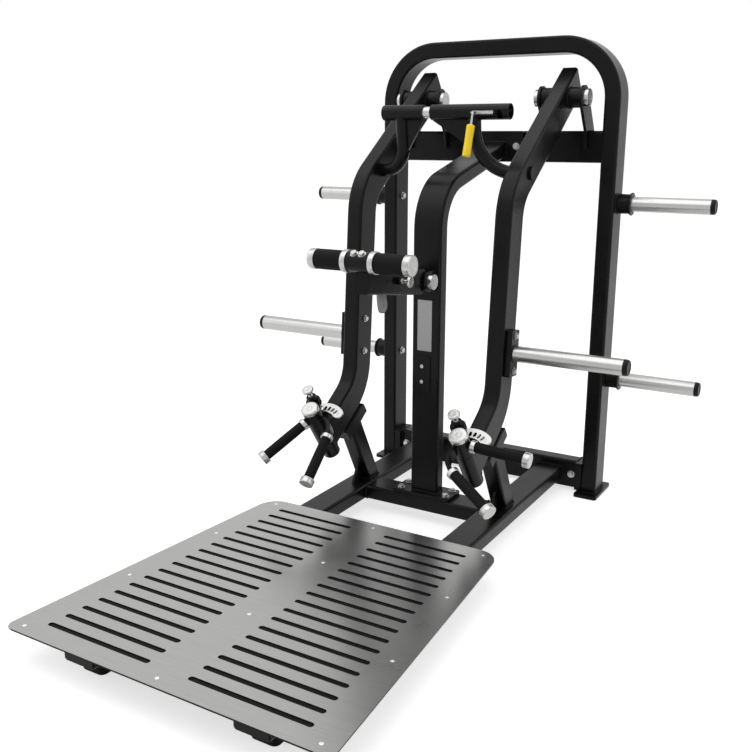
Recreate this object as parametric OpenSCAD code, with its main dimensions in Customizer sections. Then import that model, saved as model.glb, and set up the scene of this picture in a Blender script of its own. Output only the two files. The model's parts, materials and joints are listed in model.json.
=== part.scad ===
// Plate-loaded low row and deadlift machine, free-standing, in millimetres.
// X runs across the machine, +Y towards the rear hoop and +Z up.
// The origin lies on the floor, below the centre of the machine's outline.

/* [Overall] */
// Length from the platform's front edge to the back of the hoop's feet
overall_l = 1930; // [1850:1:2010]
// Height of the rear hoop
hoop_h = 1591; // [1560:1:1640]
// Outside width of the rear hoop
hoop_w = 890; // [870:1:930]
// Outside radius of the hoop's two top bends
hoop_r = 205; // [160:1:230]

/* [Tubes] */
// Narrow side of the hoop and arm tube
tube_w = 55; // [50:1:60]
// Wide side of the hoop and arm tube
tube_d = 100; // [90:1:104]
// Wide side of the post and rail tube
flat_w = 100; // [90:1:110]
// Narrow side of the post and rail tube
flat_t = 50; // [45:1:55]
// Wall of every rectangular tube
tube_wall = 3; // [2:0.5:4]
// Outside corner radius of every rectangular tube
tube_r = 9; // [6:1:12]
// Centre-line radius of the arm and post bends
bend_r = 155; // [140:1:165]

/* [Base] */
// Distance of each side rail and arm from the centre plane
rail_x = 262; // [250:1:275]
// Height of the rails' underside over the floor
rail_z = 38; // [34:1:42]
// Thickness of the foot and flange plates
plate_t = 12; // [10:1:14]
// Width of a foot plate
foot_w = 84; // [70:1:90]
// Length of a foot plate
foot_l = 175; // [150:1:190]
// Length of a front foot
front_foot_l = 110; // [90:1:130]
// Depth of the two crossbeams between the hoop's legs
beam_d = 60; // [50:1:70]
// Height of the two crossbeams
beam_h = 105; // [95:1:110]
// Drop of the upper crossbeam's centre below the hoop's top
beam_drop = 358; // [346:1:376]

/* [Platform] */
// Length of the platform, front to back
platform_l = 1000; // [960:1:1030]
// Width of the platform's front edge
platform_front_w = 978; // [940:1:1000]
// Width of the platform's back edge
platform_back_w = 825; // [800:1:860]
// Thickness of the steel sheet
sheet_t = 3; // [2:0.5:4]
// Thickness of the mat under the sheet
mat_t = 3; // [2:0.5:4]
// Number of slots on each side
slot_count = 18; // [14:1:19]
// Width of a slot
slot_w = 16; // [10:1:18]
// Distance of the slots' inner ends from the centre plane
slot_in = 60; // [50:1:80]

/* [Post] */
// Distance of the post's centre in front of the hoop's centre
post_lead = 515; // [500:1:530]
// Rise of the post's upper stretch towards the crossbeam, in degrees
post_rise = 14.5; // [13:0.5:16]
// Width of the blank label plate
label_w = 52; // [40:1:60]
// Height of the blank label plate
label_h = 168; // [120:1:180]

/* [Arms] */
// Distance of the arm pivot in front of the hoop's centre
pivot_lead = 84; // [80:1:90]
// Height of the arm pivot above the upper crossbeam's centre
pivot_rise = 158; // [152:1:166]
// Length of arm above the pivot
arm_top = 99; // [92:1:106]
// Length from the pivot to the upper bend's corner
arm_upper = 510; // [500:1:520]
// Height of the handles' axis in the arms' lower ends
handle_z = 311.75; // [304:0.25:320]
// Length from the lower bend's corner to the handle's axis
arm_lower = 243; // [236:1:250]
// Slope of the upper stretch, in degrees
upper_slope = 35.4; // [34:0.2:37]
// Lean of the middle stretch, in degrees
mid_lean = 4.3; // [3.5:0.1:5]
// Slope of the lower stretch, in degrees
lower_slope = 34.5; // [33:0.5:36]
// Radius of the pivot axle
axle_r = 15; // [12:1:18]
// Outside radius of the pivot housing
housing_r = 33; // [32:1:36]
// Half length of the pivot housing
housing_half = 66; // [60:1:70]
// Thickness of a pivot bracket
bracket_t = 10; // [8:1:12]

/* [Plate sleeves] */
// Diameter of the steel plate sleeves
sleeve_d = 50; // [48:0.5:51]
// Reach of the storage sleeves from the centre plane, without their caps
storage_reach = 750; // [720:1:780]
// Height of the lower storage sleeves
storage_low_z = 438; // [420:1:460]
// Drop of the upper storage sleeves below the upper crossbeam's centre
storage_drop = 186; // [170:1:200]
// Reach of the arms' sleeves from the centre plane, without their caps
horn_reach = 650; // [620:1:680]
// Height of the arms' sleeves
horn_z = 618; // [605:1:630]

/* [Handles] */
// Outside radius of the handle's housing and head
hub_r = 28.5; // [27:0.5:30]
// Diameter of a handle's rubber grip
grip_d = 33; // [30:1:36]
// Length of a handle's rubber grip
grip_l = 147; // [130:1:155]
// Distance of the locking pin from the handle's axis
pin_reach = 70; // [66:1:74]
// Angle between two locking slots
slot_step = 12; // [11:0.5:13]
// Slots between the two end positions of the handle
slot_gaps = 5; // [3:1:5]

/* [Arm link] */
// Distance of the link tubes in front of the arm pivot
link_lead = 348; // [340:1:355]
// Drop of the link tubes below the arm pivot
link_drop = 50; // [45:1:55]
// Outside radius of the link tubes
link_r = 24; // [23:0.5:26]
// Radius of the sliding link bolt
link_bolt_r = 18; // [16:0.5:19]
// Travel of the link bolt
link_travel = 80; // [70:1:84]

/* [T-bar] */
// Drop of the T-bar's pivot below the upper crossbeam's centre
t_drop = 407; // [395:1:420]
// Rise of the T-bar towards the user, in degrees
t_rise = 8.4; // [7:0.2:10]
// Length of the T-bar from its pivot to the beam's end
t_beam_l = 350; // [335:1:356]
// Height of the T-bar's beam
t_beam_h = 86; // [80:1:90]
// Width of the T-bar's beam
t_beam_w = 50; // [46:1:54]
// Half length of the T-bar's crossbar
t_half = 167; // [155:1:180]
// Radius of the T-bar's rubber grips
t_grip_r = 29.5; // [27:0.5:31]
// Angle between two holes of the position plate
t_step = 6.2; // [5.8:0.1:6.4]

/* [Hidden] */
$fn = 64;

// Paint, rubber and bare metal
black = "#1c1c1d";
rubber = "#0d0d0e";
zinc = "#c9c9c6";
steel = "#b9b9b4";
sheet_grey = "#adadab";
label_grey = "#8c8c8a";
yellow = "#f2cf2b";

// Clearances
run_gap = 0.05;
bend_ease = 0.05;
bend_lap = 0.2;
rest_gap = 0.3;
side_gap = 1;
bolt_gap = 0.5;

// Places along the machine
front_y = -overall_l / 2;
hoop_y = overall_l / 2 - foot_l / 2;
hoop_leg_x = hoop_w / 2 - tube_w / 2;
hoop_inside = hoop_w / 2 - tube_w;
beam_z = hoop_h - beam_drop;
pivot_z = beam_z + pivot_rise;
storage_high_z = beam_z - storage_drop;
t_pivot_z = beam_z - t_drop;
label_z = t_pivot_z - 152;
cover_z = t_pivot_z - 314;
rail_top = rail_z + flat_t;
rail_mid_z = rail_z + flat_t / 2;
beam_front = hoop_y - beam_d / 2;
lower_flange_x = hoop_inside - 2 * plate_t;
post_y = hoop_y - post_lead;
post_front = post_y - flat_t / 2;
post_foot_z = rail_top + plate_t;
platform_top = rail_top + mat_t + sheet_t;
platform_back = front_y + platform_l;
rail_front = front_y + 35;
front_foot_y = rail_front + front_foot_l / 2 + 30;

// Places along an arm, as [y, z] in the arm's own plane
pivot = [hoop_y - pivot_lead, pivot_z];
upper_dir = [cos(upper_slope), sin(upper_slope)];
mid_dir = [sin(mid_lean), cos(mid_lean)];
lower_dir = [cos(lower_slope), sin(lower_slope)];
knee = pivot - arm_upper * upper_dir;
arm_mid = (knee.y - arm_lower * lower_dir.y - handle_z) / mid_dir.y;
ankle = knee - arm_mid * mid_dir;
hub = ankle - arm_lower * lower_dir;
upper_turn = 90 - mid_lean - upper_slope;
lower_turn = 90 - mid_lean - lower_slope;
upper_cut = bend_r * tan(upper_turn / 2);
lower_cut = bend_r * tan(lower_turn / 2);
horn = ankle + mid_dir * (horn_z - ankle.y) / mid_dir.y;

// Pivot brackets and axle
bracket_in = housing_half + side_gap;
bracket_out = bracket_in + bracket_t;
axle_cap_t = 16;
bracket_r = 39;
hook_lead = 26;
hook_drop = 60;
bearing_w = 16;
bearing_r = housing_r - 6;

// Plate sleeves
sleeve_r = sleeve_d / 2;
boss_l = 50;
boss_r = 33;
flange_r = 38;
cap_l = 15;
cap_ease = 0.2;
horn_plate_t = 20;
horn_plate_w = 58;
horn_plate_h = 145;
horn_bolt_gap = 110;
horn_bolt_r = 6;
horn_root = rail_x + tube_w / 2 + horn_plate_t;

// Handle, measured along its axis from the arm's centre line
housing_low = -79;
housing_high = 60;
head_low = housing_high + 1.5;
head_high = 131;
axle_top = 145;
hub_axle_r = 12.5;
sector_t = 6;
sector_z = housing_high - 4;
sector_in = pin_reach - 14;
sector_out = pin_reach + 22;
ear_z = 88;
ear_t = 16;
ear_r = 25;
barrel_low = sector_z + sector_t + 4;
outer_grip_z = 99;
grip_neck = 4;
c_bar_z = 89;
c_bar_t = 12;
c_bar_h = 32;
c_bar_turn = 87.5;
c_bar_tail = 5;
c_bar_r = 49.5;
c_bar_start = 28.5;
c_bar_aim = 240;
grip_droop = 6;
collar_l = 14;
collar_r = grip_d / 2 + 3;
end_cap_l = 20;
end_cap_r = grip_d / 2 + 6;
grip_core_r = 11;
handle_swing = slot_step * slot_gaps;
sector_end = handle_swing / 2 + 9;
pin_angle = 90 + handle_swing / 2;
pin_r = 4;
barrel_r = 17;
barrel_top = 123;
knob_r = 19;
t_knob_r = 17;
knob_z = 147;
knob_t = 14;
pin_play = 0.5;

// Arm link
link = [pivot.x - link_lead, pivot.y - link_drop];
link_left_end = -218;
link_left_tip = -72;
link_right_tip = -43;
link_right_end = 224;
link_bolt_from = link_left_tip - 55;
link_bolt_to = 173;
link_bar_r = 21;
link_bar_at = 402;
link_left_x = 154;
link_left_r = 74;
link_right_x = 103;
link_right_r = 130;
link_plug = 8;
link_bar_end = pivot - link_bar_at * upper_dir;
link_lean = atan2(link_bar_end.x - link.x, link.y - link_bar_end.y);
link_fall = norm(link_bar_end - link);
lever_x = 115;
lever_lap = 11;
lever_tilt = 8;
lever_r = 3.5;
lever_reach = 38;
lever_neck = 34;
lever_socket = 12;
lever_grip_l = 98;
lever_grip_r = 13;
lever_slot_w = 16;
gusset_t = 10;

// T-bar, measured from its pivot
t_cheek_t = 8;
t_cheek_in = t_beam_w / 2 + side_gap;
t_cheek_out = t_cheek_in + t_cheek_t;
t_pin_r = 12;
t_bush_r = 31;
t_cheek_r = 33;
t_pivot = [post_front - 43, t_pivot_z];
t_cap_t = 18;
t_cap_r = 24.5;
t_hole_reach = 190;
t_plate_in = t_hole_reach - 23;
t_plate_out = t_hole_reach + 23;
t_hole_count = 5;
t_hole_r = 6;
t_tilt = t_step * (t_hole_count - 1);
t_cross_x = 364;
t_cross_z = 48;
t_core_r = 22;
t_ring_in = 37;
t_ring_out = 54;
t_ring_r = 33;
t_cap_l = 21;
t_knob_x = 62;

// Rest struts behind the arms' lower ends
cradle_w = 60;
cradle_from = 70;
cradle_to = 203;
cradle_t = 37;
rest_pad_t = 10;
strut_w = 56;
strut_d = 64;
strut_foot_y = hub.x + 277.5;
strut_head = 131;
strut_gusset_l = 70;
strut_gusset_h = 66;
strut_gusset_t = 8;

// Shared outlines

function unit(v) = v / norm(v);
function polar(r, a) = r * [cos(a), sin(a)];

// Points of one rounded corner at p between its neighbours a and b
function corner(a, p, b, r, n = 8) =
  let (u = unit(a - p), v = unit(b - p), half = acos(u * v) / 2)
  let (c = p + unit(u + v) * r / sin(half))
  let (s = p + u * r / tan(half) - c, e = p + v * r / tan(half) - c)
  let (from = atan2(s.y, s.x), turn = (atan2(e.y, e.x) - from + 540) % 360 - 180)
  [for (i = [0 : n]) c + polar(r, from + turn * i / n)];

// Closed outline with a radius at each of its corners
function rounded(points, radii) =
  let (n = len(points))
  [for (i = [0 : n - 1])
    for (q = corner(points[(i + n - 1) % n], points[i], points[(i + 1) % n], radii[i])) q];

// Rectangle with true round corners
module round_rect(size, r) {
  square([size.x - 2 * r, size.y], center = true);
  square([size.x, size.y - 2 * r], center = true);
  for (sx = [-1, 1], sy = [-1, 1])
    translate([sx * (size.x / 2 - r), sy * (size.y / 2 - r)]) circle(r = r);
}

// Section of a rectangular tube, with its walls thinner by ease on both faces
module tube_section(size, ease = 0) {
  wall = tube_wall - ease;
  difference() {
    round_rect(size - 2 * [ease, ease], tube_r - ease);
    round_rect(size - 2 * [wall, wall], tube_r - wall);
  }
}

// Two circles joined by a web that is a little narrower than both
module link_outline(a, ra, b, rb) {
  along = atan2(b.y - a.y, b.x - a.x);
  side = polar(1, along + 90);
  translate(a) circle(r = ra);
  translate(b) circle(r = rb);
  polygon([a - (ra - 2) * side, b - (rb - 2) * side, b + (rb - 2) * side, a + (ra - 2) * side]);
}

// Draws in the machine's side plane at x, with the sheet's X as Y and its Y as Z
module side_plane(x) {
  translate([x, 0, 0]) rotate([90, 0, 90]) children();
}

// Draws in the machine's front plane at y, with the sheet's Y as Z
module front_plane(y) {
  translate([0, y, 0]) rotate([90, 0, 0]) children();
}

// Repeats its children on both sides of the centre plane
module both_sides() {
  children();
  mirror([1, 0, 0]) children();
}

// Keeps the right side, or mirrors to the left one
module on_side(side) {
  if (side > 0) children();
  else mirror([1, 0, 0]) children();
}

// Cylinder along X between two places
module rod_x(from, to, r) {
  translate([from, 0, 0]) rotate([0, 90, 0]) cylinder(r = r, h = to - from);
}

// Stretch of rectangular tube along the sheet's X
module straight(size, l) {
  rotate([90, 0, 90]) linear_extrude(l) tube_section(size);
}

// Stretch that laps over the bends at its start and its end by a hair
module between_bends(size, l, start, end) {
  translate([-start * bend_lap, 0, 0]) straight(size, l + (start + end) * bend_lap);
}

// Bend of rectangular tube that leaves along the sheet's X and turns left.
// Its faces lie a hair inside those of the straight stretches that it joins.
module bend(size, r, angle) {
  translate([0, r, 0]) rotate([0, 0, -90])
    rotate_extrude(angle = angle, $fn = 96) translate([r, 0]) tube_section(size, bend_ease);
}

// Moves to the end of a left bend
module after_bend(r, angle) {
  translate([r * sin(angle), r * (1 - cos(angle)), 0]) rotate([0, 0, angle]) children();
}

// Domed round cap that points along +Z from z = 0
module dome_cap(r, h, rim) {
  rotate_extrude() polygon([[0, 0], [r, 0], [r, rim],
    for (a = [15 : 15 : 75]) [r * cos(a), rim + (h - rim) * sin(a)], [0, h]]);
}

// Round disc with a chamfered outer edge, along +Z
module disc(r, h, c) {
  rotate_extrude() polygon([[0, 0], [r, 0], [r, h - c], [r - c, h], [0, h]]);
}

// Hexagon bolt head with its washer, along +Z
module bolt_head(r) {
  cylinder(r = 1.25 * r, h = 2);
  translate([0, 0, 2]) cylinder(r = r, h = r * 0.7, $fn = 6);
}

// Base and hoop

module hoop_frame() {
  leg = hoop_h - hoop_r - plate_t;
  centre_r = hoop_r - tube_w / 2;
  size = [tube_w, tube_d];
  color(black) front_plane(hoop_y) translate([hoop_leg_x, plate_t, 0]) rotate([0, 0, 90]) {
    between_bends(size, leg, 0, 1);
    translate([leg, 0, 0]) {
      bend(size, centre_r, 90);
      after_bend(centre_r, 90) {
        between_bends(size, hoop_w - 2 * hoop_r, 1, 1);
        translate([hoop_w - 2 * hoop_r, 0, 0]) {
          bend(size, centre_r, 90);
          after_bend(centre_r, 90) between_bends(size, leg, 1, 0);
        }
      }
    }
  }
}

module foot_plates() {
  color(black) both_sides() {
    translate([hoop_leg_x, hoop_y, 0]) linear_extrude(plate_t) round_rect([foot_w, foot_l], 10);
    translate([rail_x, front_foot_y, rail_z - plate_t])
      linear_extrude(plate_t) round_rect([foot_w, front_foot_l], 20);
  }
}

module foot_pads() {
  color(rubber) both_sides() translate([rail_x, front_foot_y, 0])
    linear_extrude(rail_z - plate_t) round_rect([foot_w - 8, front_foot_l - 8], 16);
}

module crossbeam(half, z) {
  translate([-half, hoop_y, z]) straight([beam_d, beam_h], 2 * half);
}

module upper_crossbeam() {
  color(black) crossbeam(hoop_inside, beam_z);
}

module lower_crossbeam() {
  color(black) crossbeam(lower_flange_x, rail_mid_z);
}

module flange_plates() {
  flange_top = rail_mid_z + beam_h / 2 - plate_t - rest_gap;
  color(black) {
    both_sides() for (i = [0, 1])
      translate([lower_flange_x + i * plate_t, hoop_y, plate_t + rest_gap]) rotate([90, 0, 90])
        linear_extrude(plate_t) translate([-tube_d / 2, 0]) square([tube_d, flange_top]);
    translate([0, post_y, rail_top]) linear_extrude(plate_t) round_rect([210, flat_w - 4], 10);
    translate([0, beam_front, beam_z]) rotate([90, 0, 0])
      linear_extrude(plate_t) round_rect([220, beam_h], 6);
  }
}

module side_rails() {
  l = beam_front - rail_front;
  color(black) both_sides() translate([rail_x, rail_front, rail_mid_z]) {
    rotate([-90, 0, 0]) linear_extrude(l) tube_section([flat_w, flat_t]);
    rotate([-90, 0, 0]) linear_extrude(tube_wall)
      round_rect([flat_w - tube_wall, flat_t - tube_wall], tube_r - tube_wall / 2);
  }
}

module post_cross_member() {
  half = rail_x - flat_w / 2;
  color(black) translate([-half, post_y, rail_mid_z]) straight([flat_w, flat_t], 2 * half);
}

module centre_post() {
  turn = 90 - post_rise;
  cut = bend_r * tan(turn / 2);
  top = beam_z - 10;
  corner_z = top - (beam_front - plate_t - post_y) * tan(post_rise);
  leg = corner_z - cut - post_foot_z;
  size = [flat_t, flat_w];
  color(black) difference() {
    side_plane(0) translate([post_y, post_foot_z, 0]) rotate([0, 0, 90]) mirror([0, 1, 0]) {
      between_bends(size, leg, 0, 1);
      translate([leg, 0, 0]) {
        bend(size, bend_r, turn);
        after_bend(bend_r, turn) between_bends(size, post_lead, 1, 0);
      }
    }
    translate([-flat_w, beam_front - plate_t, 0]) cube([2 * flat_w, hoop_h, hoop_h]);
  }
}

// Bolts that hold the flanges and sleeves, and the platform's and cover's screws
module frame_fasteners() {
  color(zinc) {
    for (sx = [-1, 1], sy = [-1, 1])
      translate([sx * 84, post_y + sy * 28, post_foot_z]) bolt_head(10);
    for (s = [-1, 1]) {
      translate([s * 86, beam_front - plate_t, beam_z]) rotate([90, 0, 0]) bolt_head(10);
      translate([s * (lower_flange_x - 20), beam_front, rail_mid_z]) rotate([90, 0, 0]) bolt_head(11);
      for (z = [storage_low_z, storage_high_z])
        translate([s * hoop_inside, hoop_y, z]) rotate([0, -90 * s, 0]) bolt_head(11);
    }
    for (p = screw_places) translate([p.x, p.y, platform_top - sheet_t]) cylinder(r = screw_r, h = sheet_t);
    for (z = [cover_z - 26, cover_z + 26])
      translate([-10, post_front - 3, z]) rotate([90, 0, 0]) disc(6, 2.5, 1);
  }
}

module label_plate() {
  color(label_grey) translate([-3, post_front, label_z]) rotate([90, 0, 0])
    linear_extrude(1.5) round_rect([label_w, label_h], 2);
}

module post_cover_plate() {
  color(black) translate([-12, post_front, cover_z]) rotate([90, 0, 0])
    linear_extrude(3) round_rect([64, 122], 6);
}

// Platform

screw_r = 5.5;
screw_rows = platform_l * [0.029, 0.359, 0.694, 0.97];
platform_front_r = 26;
platform_back_r = 66;
slot_margin = 67;
slot_edge = 84;
platform_taper = (platform_front_w - platform_back_w) / 2 / platform_l;
function platform_half(y) = platform_front_w / 2 - (y - front_y) * platform_taper;
screw_places = [for (d = screw_rows)
  for (s = [-1, 0, 1]) [s * (platform_half(front_y + d) - 42), front_y + d]];

module platform_outline(inset) {
  front = front_y + inset;
  back = platform_back - inset;
  a = platform_half(front) - inset;
  b = platform_half(back) - inset;
  polygon(rounded([[-a, front], [a, front], [b, back], [-b, back]],
    [platform_front_r, platform_front_r, platform_back_r, platform_back_r]));
}

// Slots start at the same distance from the centre and follow the tapered edges
module platform_slot(i) {
  y = front_y + slot_margin + i * (platform_l - 2 * slot_margin + 2) / (slot_count - 1);
  out = platform_half(y) - slot_edge;
  r = slot_w / 2;
  translate([slot_in + r, y - r]) square([out - slot_in - 2 * r, slot_w]);
  for (x = [slot_in + r, out - r]) translate([x, y]) circle(r = r, $fn = 24);
}

module platform_sheet() {
  color(sheet_grey) translate([0, 0, platform_top - sheet_t]) linear_extrude(sheet_t)
    difference() {
      platform_outline(0);
      for (i = [0 : slot_count - 1]) {
        platform_slot(i);
        mirror([1, 0]) platform_slot(i);
      }
      for (p = screw_places) translate(p) circle(r = screw_r, $fn = 24);
    }
}

module platform_mat() {
  color(rubber) translate([0, 0, rail_top]) linear_extrude(mat_t) platform_outline(1.5);
}

// Rest struts that the arms' lower ends lie on

// Frame of the handle and the arm's lower stretch: +Z along the handle's axis
module hub_frame() {
  translate([rail_x, hub.x, hub.y]) rotate([lower_slope, 0, 0]) children();
}

cradle_low = -tube_d / 2 - rest_gap - rest_pad_t - cradle_t;

module rest_struts() {
  head = hub + strut_head * lower_dir + cradle_low * [-lower_dir.y, lower_dir.x];
  foot = [strut_foot_y, rail_top];
  lean = atan2(foot.x - head.x, head.y - foot.y);
  l = norm(head - foot);
  wall_y = foot.x - (strut_d - tube_wall) / 2 / cos(lean);
  color(black) both_sides() {
    hub_frame() translate([-cradle_w / 2, cradle_from, cradle_low])
      cube([cradle_w, cradle_to - cradle_from, cradle_t]);
    difference() {
      translate([rail_x, foot.x, foot.y]) rotate([lean, 0, 0]) translate([0, 0, -strut_d])
        linear_extrude(l + 2 * strut_d) tube_section([strut_w, strut_d]);
      translate([0, -2 * hoop_w, rail_top - hoop_h]) cube([2 * hoop_w, 4 * hoop_w, hoop_h]);
      hub_frame() translate([-hoop_w, -hoop_w, cradle_low]) cube([2 * hoop_w, 2 * hoop_w, hoop_w]);
    }
    side_plane(rail_x) linear_extrude(strut_gusset_t, center = true)
      polygon([[wall_y, rail_top], [wall_y - strut_gusset_l, rail_top],
        [wall_y - strut_gusset_h * tan(lean), rail_top + strut_gusset_h]]);
  }
}

module rest_pads() {
  color(rubber) both_sides() hub_frame()
    translate([-cradle_w / 2, cradle_from, -tube_d / 2 - rest_gap - rest_pad_t])
      cube([cradle_w, cradle_to - cradle_from - 12, rest_pad_t]);
}

// Arm pivots

module pivot_brackets() {
  base_z = beam_z + beam_h / 2;
  color(black) both_sides() for (s = [-1, 1])
    side_plane(rail_x + s * (bracket_in + bracket_t / 2)) linear_extrude(bracket_t, center = true)
      difference() {
        union() {
          translate(pivot) circle(r = bracket_r);
          polygon([[beam_front, base_z - hook_drop], [beam_front, base_z], [beam_front + beam_d, base_z],
            pivot + polar(bracket_r - 1, 28), pivot + polar(bracket_r - 1, 206),
            [beam_front - hook_lead, base_z], [beam_front - 0.5 * hook_lead, base_z - hook_drop]]);
        }
        translate(pivot) circle(r = axle_r);
      }
}

module pivot_axles() {
  color(zinc) both_sides() translate([rail_x, pivot.x, pivot.y]) {
    rod_x(-bracket_out, bracket_out, axle_r);
    for (s = [-1, 1]) translate([s * bracket_out, 0, 0]) rotate([0, s * 90, 0])
      disc(axle_r + 13, axle_cap_t, 2);
  }
}

module pivot_bearings() {
  color(steel) both_sides() translate([rail_x, pivot.x, pivot.y]) for (s = [-1, 1])
    translate([s * (housing_half - bearing_w / 2 - 2) - bearing_w / 2, 0, 0]) difference() {
      rod_x(0, bearing_w, bearing_r - run_gap);
      rod_x(-1, bearing_w + 1, axle_r);
    }
}

// Storage sleeves on the hoop's legs

module storage_places() {
  both_sides() for (z = [storage_low_z, storage_high_z]) translate([0, hoop_y, z]) children();
}

storage_root = hoop_w / 2 + boss_l;

module storage_bosses() {
  color(black) storage_places() {
    rod_x(hoop_w / 2, storage_root, boss_r);
    rod_x(storage_root - 6, storage_root, flange_r);
  }
}

module storage_sleeves() {
  color(steel) storage_places() difference() {
    rod_x(storage_root, storage_reach, sleeve_r);
    rod_x(storage_root - 1, storage_reach + 1, sleeve_r - 3);
  }
}

module storage_caps() {
  color(rubber) storage_places() translate([storage_reach, 0, 0]) rotate([0, 90, 0])
    dome_cap(sleeve_r - cap_ease, cap_l, 5);
}

// Arms

// Holes and bolts that hold the arm's sleeve bracket
module horn_bolt_places() {
  for (s = [-1, 1])
    translate([0, horn.x + s * mid_dir.x * horn_bolt_gap / 2, horn.y + s * mid_dir.y * horn_bolt_gap / 2])
      children();
}

module arm_tube(side) {
  size = [tube_d, tube_w];
  upper_l = arm_top + arm_upper - upper_cut;
  mid_l = arm_mid - upper_cut - lower_cut;
  lower_l = arm_lower - lower_cut;
  start = pivot + arm_top * upper_dir;
  color(black) on_side(side) difference() {
    side_plane(rail_x) translate([start.x, start.y, 0]) rotate([0, 0, 180 + upper_slope]) {
      between_bends(size, upper_l, 0, 1);
      rotate([90, 0, 90]) linear_extrude(tube_wall)
        round_rect(size - [tube_wall, tube_wall], tube_r - tube_wall / 2);
      translate([upper_l, 0, 0]) {
        bend(size, bend_r, upper_turn);
        after_bend(bend_r, upper_turn) {
          between_bends(size, mid_l, 1, 1);
          translate([mid_l, 0, 0]) mirror([0, 1, 0]) {
            bend(size, bend_r, lower_turn);
            after_bend(bend_r, lower_turn) between_bends(size, lower_l, 1, 0);
          }
        }
      }
    }
    translate([0, pivot.x, pivot.y]) rod_x(rail_x - tube_w, rail_x + tube_w, housing_r);
    hub_frame() translate([0, 0, -tube_d]) cylinder(r = hub_r, h = 2 * tube_d);
    horn_bolt_places() rod_x(rail_x - tube_w, rail_x + tube_w, horn_bolt_r + bolt_gap);
    translate([0, link_bar_end.x, link_bar_end.y]) rod_x(rail_x - tube_w, rail_x + tube_w, link_bar_r);
  }
}

module arm_pivot_housing(side) {
  color(black) on_side(side) translate([rail_x, pivot.x, pivot.y]) difference() {
    rod_x(-housing_half, housing_half, housing_r);
    rod_x(-housing_half - 1, housing_half + 1, axle_r + 4);
    for (s = [-1, 1]) translate([s * (housing_half - bearing_w / 2), 0, 0])
      rod_x(-bearing_w / 2 - 3, bearing_w / 2 + 3, bearing_r);
  }
}

module horn_bracket(side) {
  color(black) on_side(side) difference() {
    side_plane(rail_x + tube_w / 2) translate([horn.x, horn.y, 0]) rotate([0, 0, -mid_lean])
      linear_extrude(horn_plate_t) round_rect([horn_plate_w, horn_plate_h], 5);
    horn_bolt_places() rod_x(rail_x, horn_reach, horn_bolt_r + bolt_gap);
  }
}

module horn_bolts(side) {
  color(zinc) on_side(side) horn_bolt_places() {
    rod_x(rail_x - tube_w / 2, horn_root, horn_bolt_r);
    translate([horn_root, 0, 0]) rotate([0, 90, 0]) bolt_head(9);
    translate([rail_x - tube_w / 2, 0, 0]) rotate([0, -90, 0]) bolt_head(9);
  }
}

module horn_sleeve(side) {
  color(steel) on_side(side) translate([0, horn.x, horn.y]) difference() {
    rod_x(horn_root, horn_reach, sleeve_r);
    rod_x(horn_root - 1, horn_reach + 1, sleeve_r - 3);
  }
}

module horn_cap(side) {
  color(rubber) on_side(side) translate([horn_reach, horn.x, horn.y]) rotate([0, 90, 0])
    dome_cap(sleeve_r - cap_ease, cap_l, 5);
}

// Handles

module handle_housing(side) {
  color(black) on_side(side) hub_frame() {
    difference() {
      translate([0, 0, housing_low]) cylinder(r = hub_r, h = housing_high - housing_low);
      translate([0, 0, housing_low + 8])
        cylinder(r = hub_axle_r + run_gap, h = housing_high - housing_low);
    }
    difference() {
      translate([0, 0, tube_d / 2]) linear_extrude(sector_z - tube_d / 2) fan(sector_in + 10);
      cylinder(r = hub_r - 1, h = tube_d);
    }
  }
}

// Sector of a disc that spans the locking slots
module fan(r) {
  half = handle_swing / 2 + 8;
  polygon([[0, 0], for (i = [0 : 24]) polar(r, 90 - half + 2 * half * i / 24)]);
}

// Its band keeps to the holes' radius and ends in round tabs
module sector_plate(side) {
  mid = (sector_in + sector_out) / 2;
  half = (sector_out - sector_in) / 2;
  color(zinc) on_side(side) hub_frame() translate([0, 0, sector_z]) linear_extrude(sector_t)
    difference() {
      rotate(90) polygon(concat(
        [for (a = [-sector_end : 3 : sector_end]) sector_out * [cos(a), sin(a)]],
        [for (b = [15 : 15 : 165]) mid * [cos(sector_end), sin(sector_end)]
          + half * [cos(sector_end + b), sin(sector_end + b)]],
        [for (a = [sector_end : -3 : -sector_end]) sector_in * [cos(a), sin(a)]],
        [for (b = [15 : 15 : 165]) mid * [cos(sector_end), -sin(sector_end)]
          - half * [cos(b - sector_end), sin(b - sector_end)]]));
      for (i = [0 : slot_gaps]) rotate(90 - handle_swing / 2 + i * slot_step)
        for (x = [-4, 4]) translate([pin_reach + x, 0]) {
          circle(r = pin_r + pin_play, $fn = 24);
          if (x < 0) translate([0, -pin_r - pin_play]) square([8, 2 * (pin_r + pin_play)]);
        }
    }
}

// Turns a handle to the slot that it stands in: the outermost one on the left side
module handle_frame(side) {
  on_side(side) hub_frame() rotate([0, 0, side > 0 ? 0 : -handle_swing]) children();
}

// Places its children at the outer and the inner grip's root, along the grip
module grip_places() {
  outer_grip_root() children();
  c_bar_end() rotate([0, 90 + grip_droop, 0]) children();
}

module outer_grip_root() {
  translate([hub_r + grip_neck, 0, outer_grip_z]) rotate([0, 90 + grip_droop, 0]) children();
}

module c_bar_end() {
  rotate([0, 0, c_bar_aim]) translate([c_bar_start, 0, c_bar_z]) after_bend(c_bar_r, c_bar_turn)
    translate([c_bar_tail, 0, 0]) children();
}

pin_place = polar(pin_reach, pin_angle);

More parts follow.
